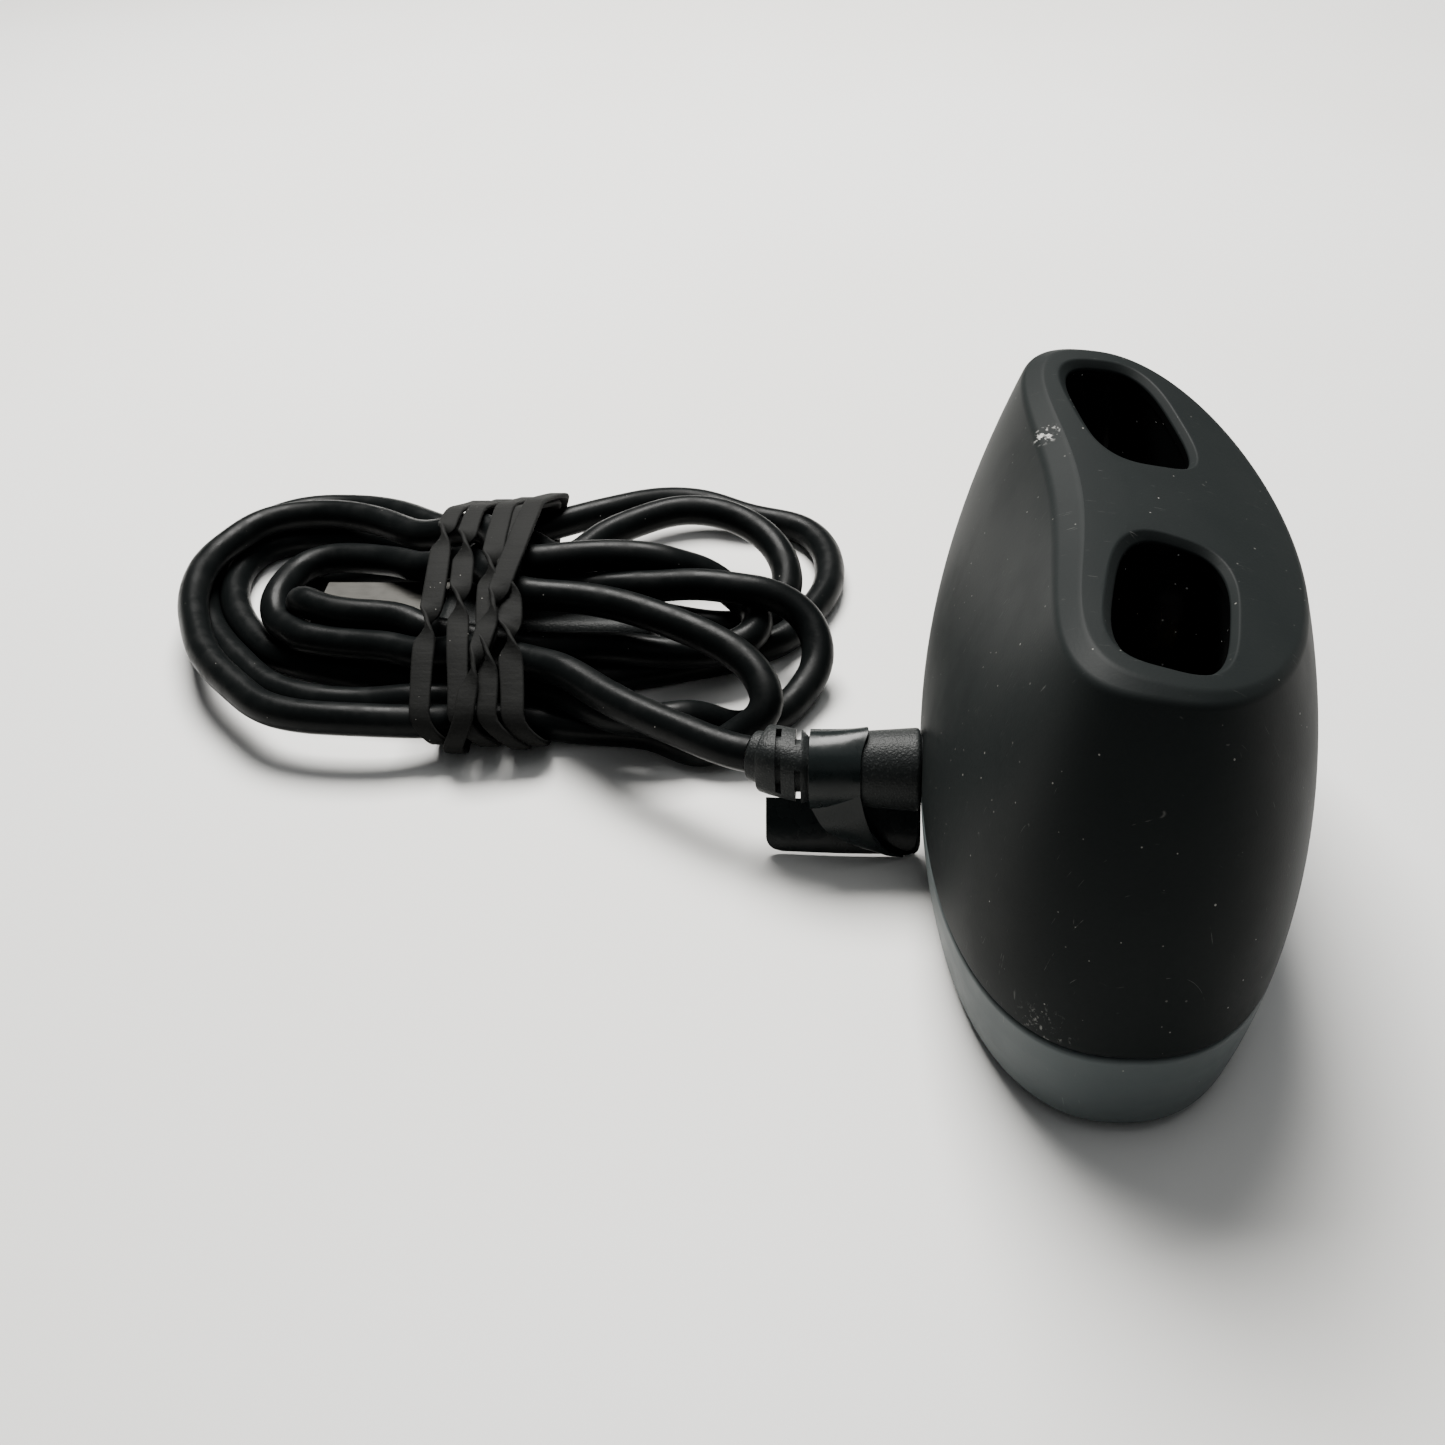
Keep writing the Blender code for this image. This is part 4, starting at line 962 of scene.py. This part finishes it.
def push_out(points, low, high, free):
    """Moves points out of a box the shortest way, but never down."""
    low, high = low - CORD_R, high + CORD_R
    for k in np.nonzero(((points > low) & (points < high)).all(1) & free)[0]:
        ways = [points[k][0] - low[0], points[k][1] - low[1], math.inf, *(high - points[k])]
        way = int(np.argmin(ways))
        points[k][way % 3] += 0.6 * ways[way] * (-1 if way < 3 else 1)


def relaxed(route):
    """The route as the cord really lies: bent evenly, resting on the floor, on itself and on the plug."""
    wanted = along_route([(*at, CORD_R) if len(at) == 2 else at for at in route], CORD_STEP)
    points = wanted.copy()
    count = len(points)
    first, second = np.triu_indices(count, 7)       # near neighbours along the cord never push each other
    held = np.zeros(count, bool)                    # the ends, in the strain relief and in the connector
    held[:4], held[-6:] = True, True
    free = ~held                                    # points that the connector can push
    free[-9:] = False
    boxes = [tuple(np.array(corner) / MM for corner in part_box(node)) for node in ("usb_grip", "usb_shell")]
    inner = slice(4, -6)
    for turn in range(RELAX_ROUNDS):
        for _ in range(2):
            points[3:-3] -= EVEN_OUT * bends(bends(points))[3:-3]
        pull = (wanted - points)[inner]
        points[inner] += pull * PULL_BACK
        points[6:-8, 2] -= SAG
        for _ in range(2):
            push_apart(points, (first, second), held)
            for low, high in boxes:
                push_out(points, low, high, free)
            points[4:, 2] = np.maximum(points[4:, 2], floor_under(points)[4:])
        if turn % 10 == 9:
            points = evenly(points, count)
    return points


def make_cord(points, looks):
    curve = bpy.data.curves.new("cord", "CURVE")
    curve.dimensions = "3D"
    curve.bevel_depth = CORD_R * MM
    curve.bevel_resolution = 8
    curve.use_fill_caps = True
    fine = evenly(spline(points, 3 * len(points)), 2 * len(points))
    fine[0] = EXIT
    line = curve.splines.new("POLY")
    line.points.add(len(fine) - 1)
    for item, point in zip(line.points, fine):
        item.co = (*(Vector(point) * MM), 1.0)
    curve.materials.append(looks["cord_jacket"])
    cord = add_object("cord", curve)
    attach(cord, "dock")
    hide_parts("cord_lead", "cord_hank")
    return cord, path_length(fine)


# -------- rubber band
def hull(points):
    """The convex outline round points in a plane, counter-clockwise."""
    points = sorted(set(map(tuple, np.round(points, 3))))

    def half(items):
        chain = []
        for p in items:
            while len(chain) > 1 and ((chain[-1][0] - chain[-2][0]) * (p[1] - chain[-2][1])
                                      - (chain[-1][1] - chain[-2][1]) * (p[0] - chain[-2][0])) <= 0:
                chain.pop()
            chain.append(p)
        return chain[:-1]

    return half(points) + half(points[::-1])


def bundle_outline(cord_points, y_low, y_high, count=160):
    """The outline of everything the band holds, from the far foot over the top and back underneath."""
    circle = [(math.cos(a), math.sin(a)) for a in (2 * math.pi * i / 32 for i in range(32))]
    inside = cord_points[(cord_points[:, 1] > y_low) & (cord_points[:, 1] < y_high)]
    cloud = [(p[0] + CORD_R * c, p[2] + CORD_R * s) for p in inside for c, s in circle]
    low, high = (np.array(corner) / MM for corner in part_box("usb_grip"))
    cloud += [(x, z) for x in (low[0], high[0]) for z in (low[2], high[2])]
    ring = np.array(hull(np.array(cloud)))
    start = int(np.argmax(ring[:, 0] - ring[:, 1]))
    ring = np.vstack([np.roll(ring, -start, axis=0), ring[start]])
    flat = evenly(np.column_stack([ring[:, 0], np.zeros(len(ring)), ring[:, 1]]), count + 1)[:-1, [0, 2]]
    for _ in range(6):
        flat = (np.roll(flat, 1, axis=0) + 2 * flat + np.roll(flat, -1, axis=0)) / 4
    return flat


def band_stations(outline):
    """Fractions of the way round at the far foot, far edge, top's middle, near edge and near foot."""
    def nearest(score):
        return int(np.argmax(score)) / len(outline)
    x, z = outline[:, 0], outline[:, 1]
    wide = (x.max() - x.min()) / 2
    middle = (x.max() + x.min()) / 2
    top = nearest(z - abs(x - middle) / wide)
    return [0.0, nearest(x + 1.2 * z), top, nearest(1.2 * z - x), nearest(-x - z)]


def smooth(t):
    t = min(max(t, 0.0), 1.0)
    return t * t * (3 - 2 * t)


def make_band_turn(name, outline, turn, looks):
    """One turn of the rubber band: a flat strip laid round the outline, with half twists in it."""
    ys, lift, width, twists = turn
    stations = band_stations(outline) + [1.0]
    ys = list(ys) + [ys[0]]
    count = len(outline)
    centre = outline.mean(0)
    rings = []
    for i in range(count):
        u = i / count
        here = outline[i]
        ahead, behind = outline[(i + 2) % count], outline[i - 2]
        tangent = (ahead - behind) / norm(ahead - behind)
        normal = np.array((tangent[1], -tangent[0]))
        if normal @ (here - centre) < 0:
            normal = -normal
        k = max(j for j in range(len(stations) - 1) if stations[j] <= u + 1e-9)
        t = (u - stations[k]) / max(stations[k + 1] - stations[k], 1e-6)
        y = ys[k] + (ys[k + 1] - ys[k]) * smooth(t)
        roll = sum(math.pi * smooth((u - place_at) / TWIST_SPAN) for place_at in twists)
        over = lift + TWIST_LIFT * math.sin(roll) ** 2
        if here[1] < 2.0:
            over = 0.45 + 0.1 * lift
        wave = 0.22 * math.sin(9 * u * math.pi + 3 * lift)
        middle = np.array((here[0] + normal[0] * over, y + wave, max(here[1] + normal[1] * over, 0.42)))
        out = np.array((normal[0], 0.0, normal[1]))
        side = np.array((0.0, 1.0, 0.0))
        flat = side * math.cos(roll) + out * math.sin(roll)
        thick = out * math.cos(roll) - side * math.sin(roll)
        span = width * (0.92 + 0.08 * math.cos(5 * u * math.pi + lift))
        span *= 1 - TWIST_NARROWING * math.sin(roll) ** 2
        section = rounded_rectangle(span / 2, BAND_THICKNESS / 2, 0.28, 3)
        ring = [middle + flat * a + thick * b for a, b in section]
        rings.append([(x, y, max(z, BAND_LOWEST)) for x, y, z in ring])
    strip = loft(name, rings, looks["tie_rubber"], ring_closed=True)
    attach(strip, "dock")
    return strip


def make_rubber_band(cord_points, looks):
    outline = bundle_outline(cord_points, TIE_LOW + 1, TIE_HIGH - 1)
    strips = [make_band_turn(f"band_turn_{number}", outline, turn, looks)
              for number, turn in enumerate(BAND_TURNS, 1)]
    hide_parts("rubber_band")
    return strips


# -------- connector at the cord's end
def make_usb_grip(looks):
    low, high = (np.array(corner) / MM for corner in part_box("usb_grip"))
    middle, half = (low + high) / 2, (high - low) / 2
    rings = []
    profile = softened([(low[1], 2.4), (low[1] + 0.5, 1.0), (low[1] + 5.0, 0.1), (high[1] - 0.9, 0.0),
                        (high[1], 0.9)], 0.6, 4)
    for y, inset in profile:
        rings.append([(middle[0] + x, y, middle[2] + z) for x, z in
                      rounded_rectangle(half[0] - inset, half[2] - inset * 0.8, 2.0 - 0.3 * inset, 8)])
    grip = loft("connector_grip", rings, looks["plug_plastic"])
    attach(grip, "dock")
    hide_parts("usb_grip")
    return grip


# -------- carried-over nodes, stage and camera
def dress_cad_nodes(looks):
    """Every CAD node that still shows gets its slot's procedural material."""
    assignments = {}
    waiting = [frame["record"]]
    while waiting:
        value = waiting.pop()
        if isinstance(value, dict):
            if "node" in value and "material_slot" in value:
                assignments[value["node"]] = value["material_slot"]
            waiting += value.values()
        elif isinstance(value, list):
            waiting += value
    for name, obj in frame["nodes"].items():
        look = looks["connector_shell" if name == "usb_shell" else assignments[name]]
        if not obj.data.materials:
            obj.data.materials.append(look)
        for item in obj.material_slots:
            item.material = look


def area_light(name, at, towards, side, power, color):
    data = bpy.data.lights.new(name, "AREA")
    data.shape = "RECTANGLE"
    data.size = data.size_y = side
    data.energy = power
    data.color = color
    light = add_object(name, data)
    light.location = at
    light.rotation_euler = (Vector(towards) - Vector(at)).to_track_quat("-Z", "Y").to_euler()


def make_stage():
    count = FLOOR_CELLS + 1
    marks = [FLOOR_HALF * (2 * i / FLOOR_CELLS - 1) for i in range(count)]
    verts = [(x, y, 0.0) for x in marks for y in marks]
    faces = [(count * i + j, count * i + j + count, count * i + j + count + 1, count * i + j + 1)
             for i in range(FLOOR_CELLS) for j in range(FLOOR_CELLS)]
    floor = place("floor", verts, faces, floor_material())
    for light in LIGHTS:
        area_light(*light)
    world = bpy.data.worlds.new("studio")
    world.use_nodes = True
    background = world.node_tree.nodes["Background"]
    background.inputs["Color"].default_value = WORLD_COLOR
    background.inputs["Strength"].default_value = WORLD_STRENGTH
    bpy.context.scene.world = world


def make_camera():
    data = bpy.data.cameras.new("camera")
    data.lens, data.sensor_width = CAMERA_LENS, SENSOR
    data.clip_start, data.clip_end = 0.01, 20.0
    level = math.cos(CAMERA_PITCH)
    forward = Vector((level * math.cos(CAMERA_YAW), level * math.sin(CAMERA_YAW), math.sin(CAMERA_PITCH)))
    right = forward.cross(Vector((0, 0, 1))).normalized()
    up = right.cross(forward)
    cos, sin = math.cos(CAMERA_ROLL), math.sin(CAMERA_ROLL)
    right, up = cos * right + sin * up, cos * up - sin * right
    camera = add_object("camera", data)
    turn = Matrix((right, up, -forward)).transposed().to_4x4()
    camera.matrix_world = Matrix.Translation(Vector(CAMERA_AT) * MM) @ turn
    bpy.context.scene.camera = camera


def main():
    looks = make_looks()
    make_camera()
    points = relaxed(ROUTE)
    cord, length = make_cord(points, looks)
    strips = make_rubber_band(points, looks)
    grip = make_usb_grip(looks)
    make_shell(looks)
    make_band(looks)
    for side in (-1, 1):
        make_well(side, looks)
        make_contact_pins(side, looks)
    make_plug(looks)
    make_strain_relief(looks)
    make_label(looks)
    dress_cad_nodes(looks)
    make_stage()


main()
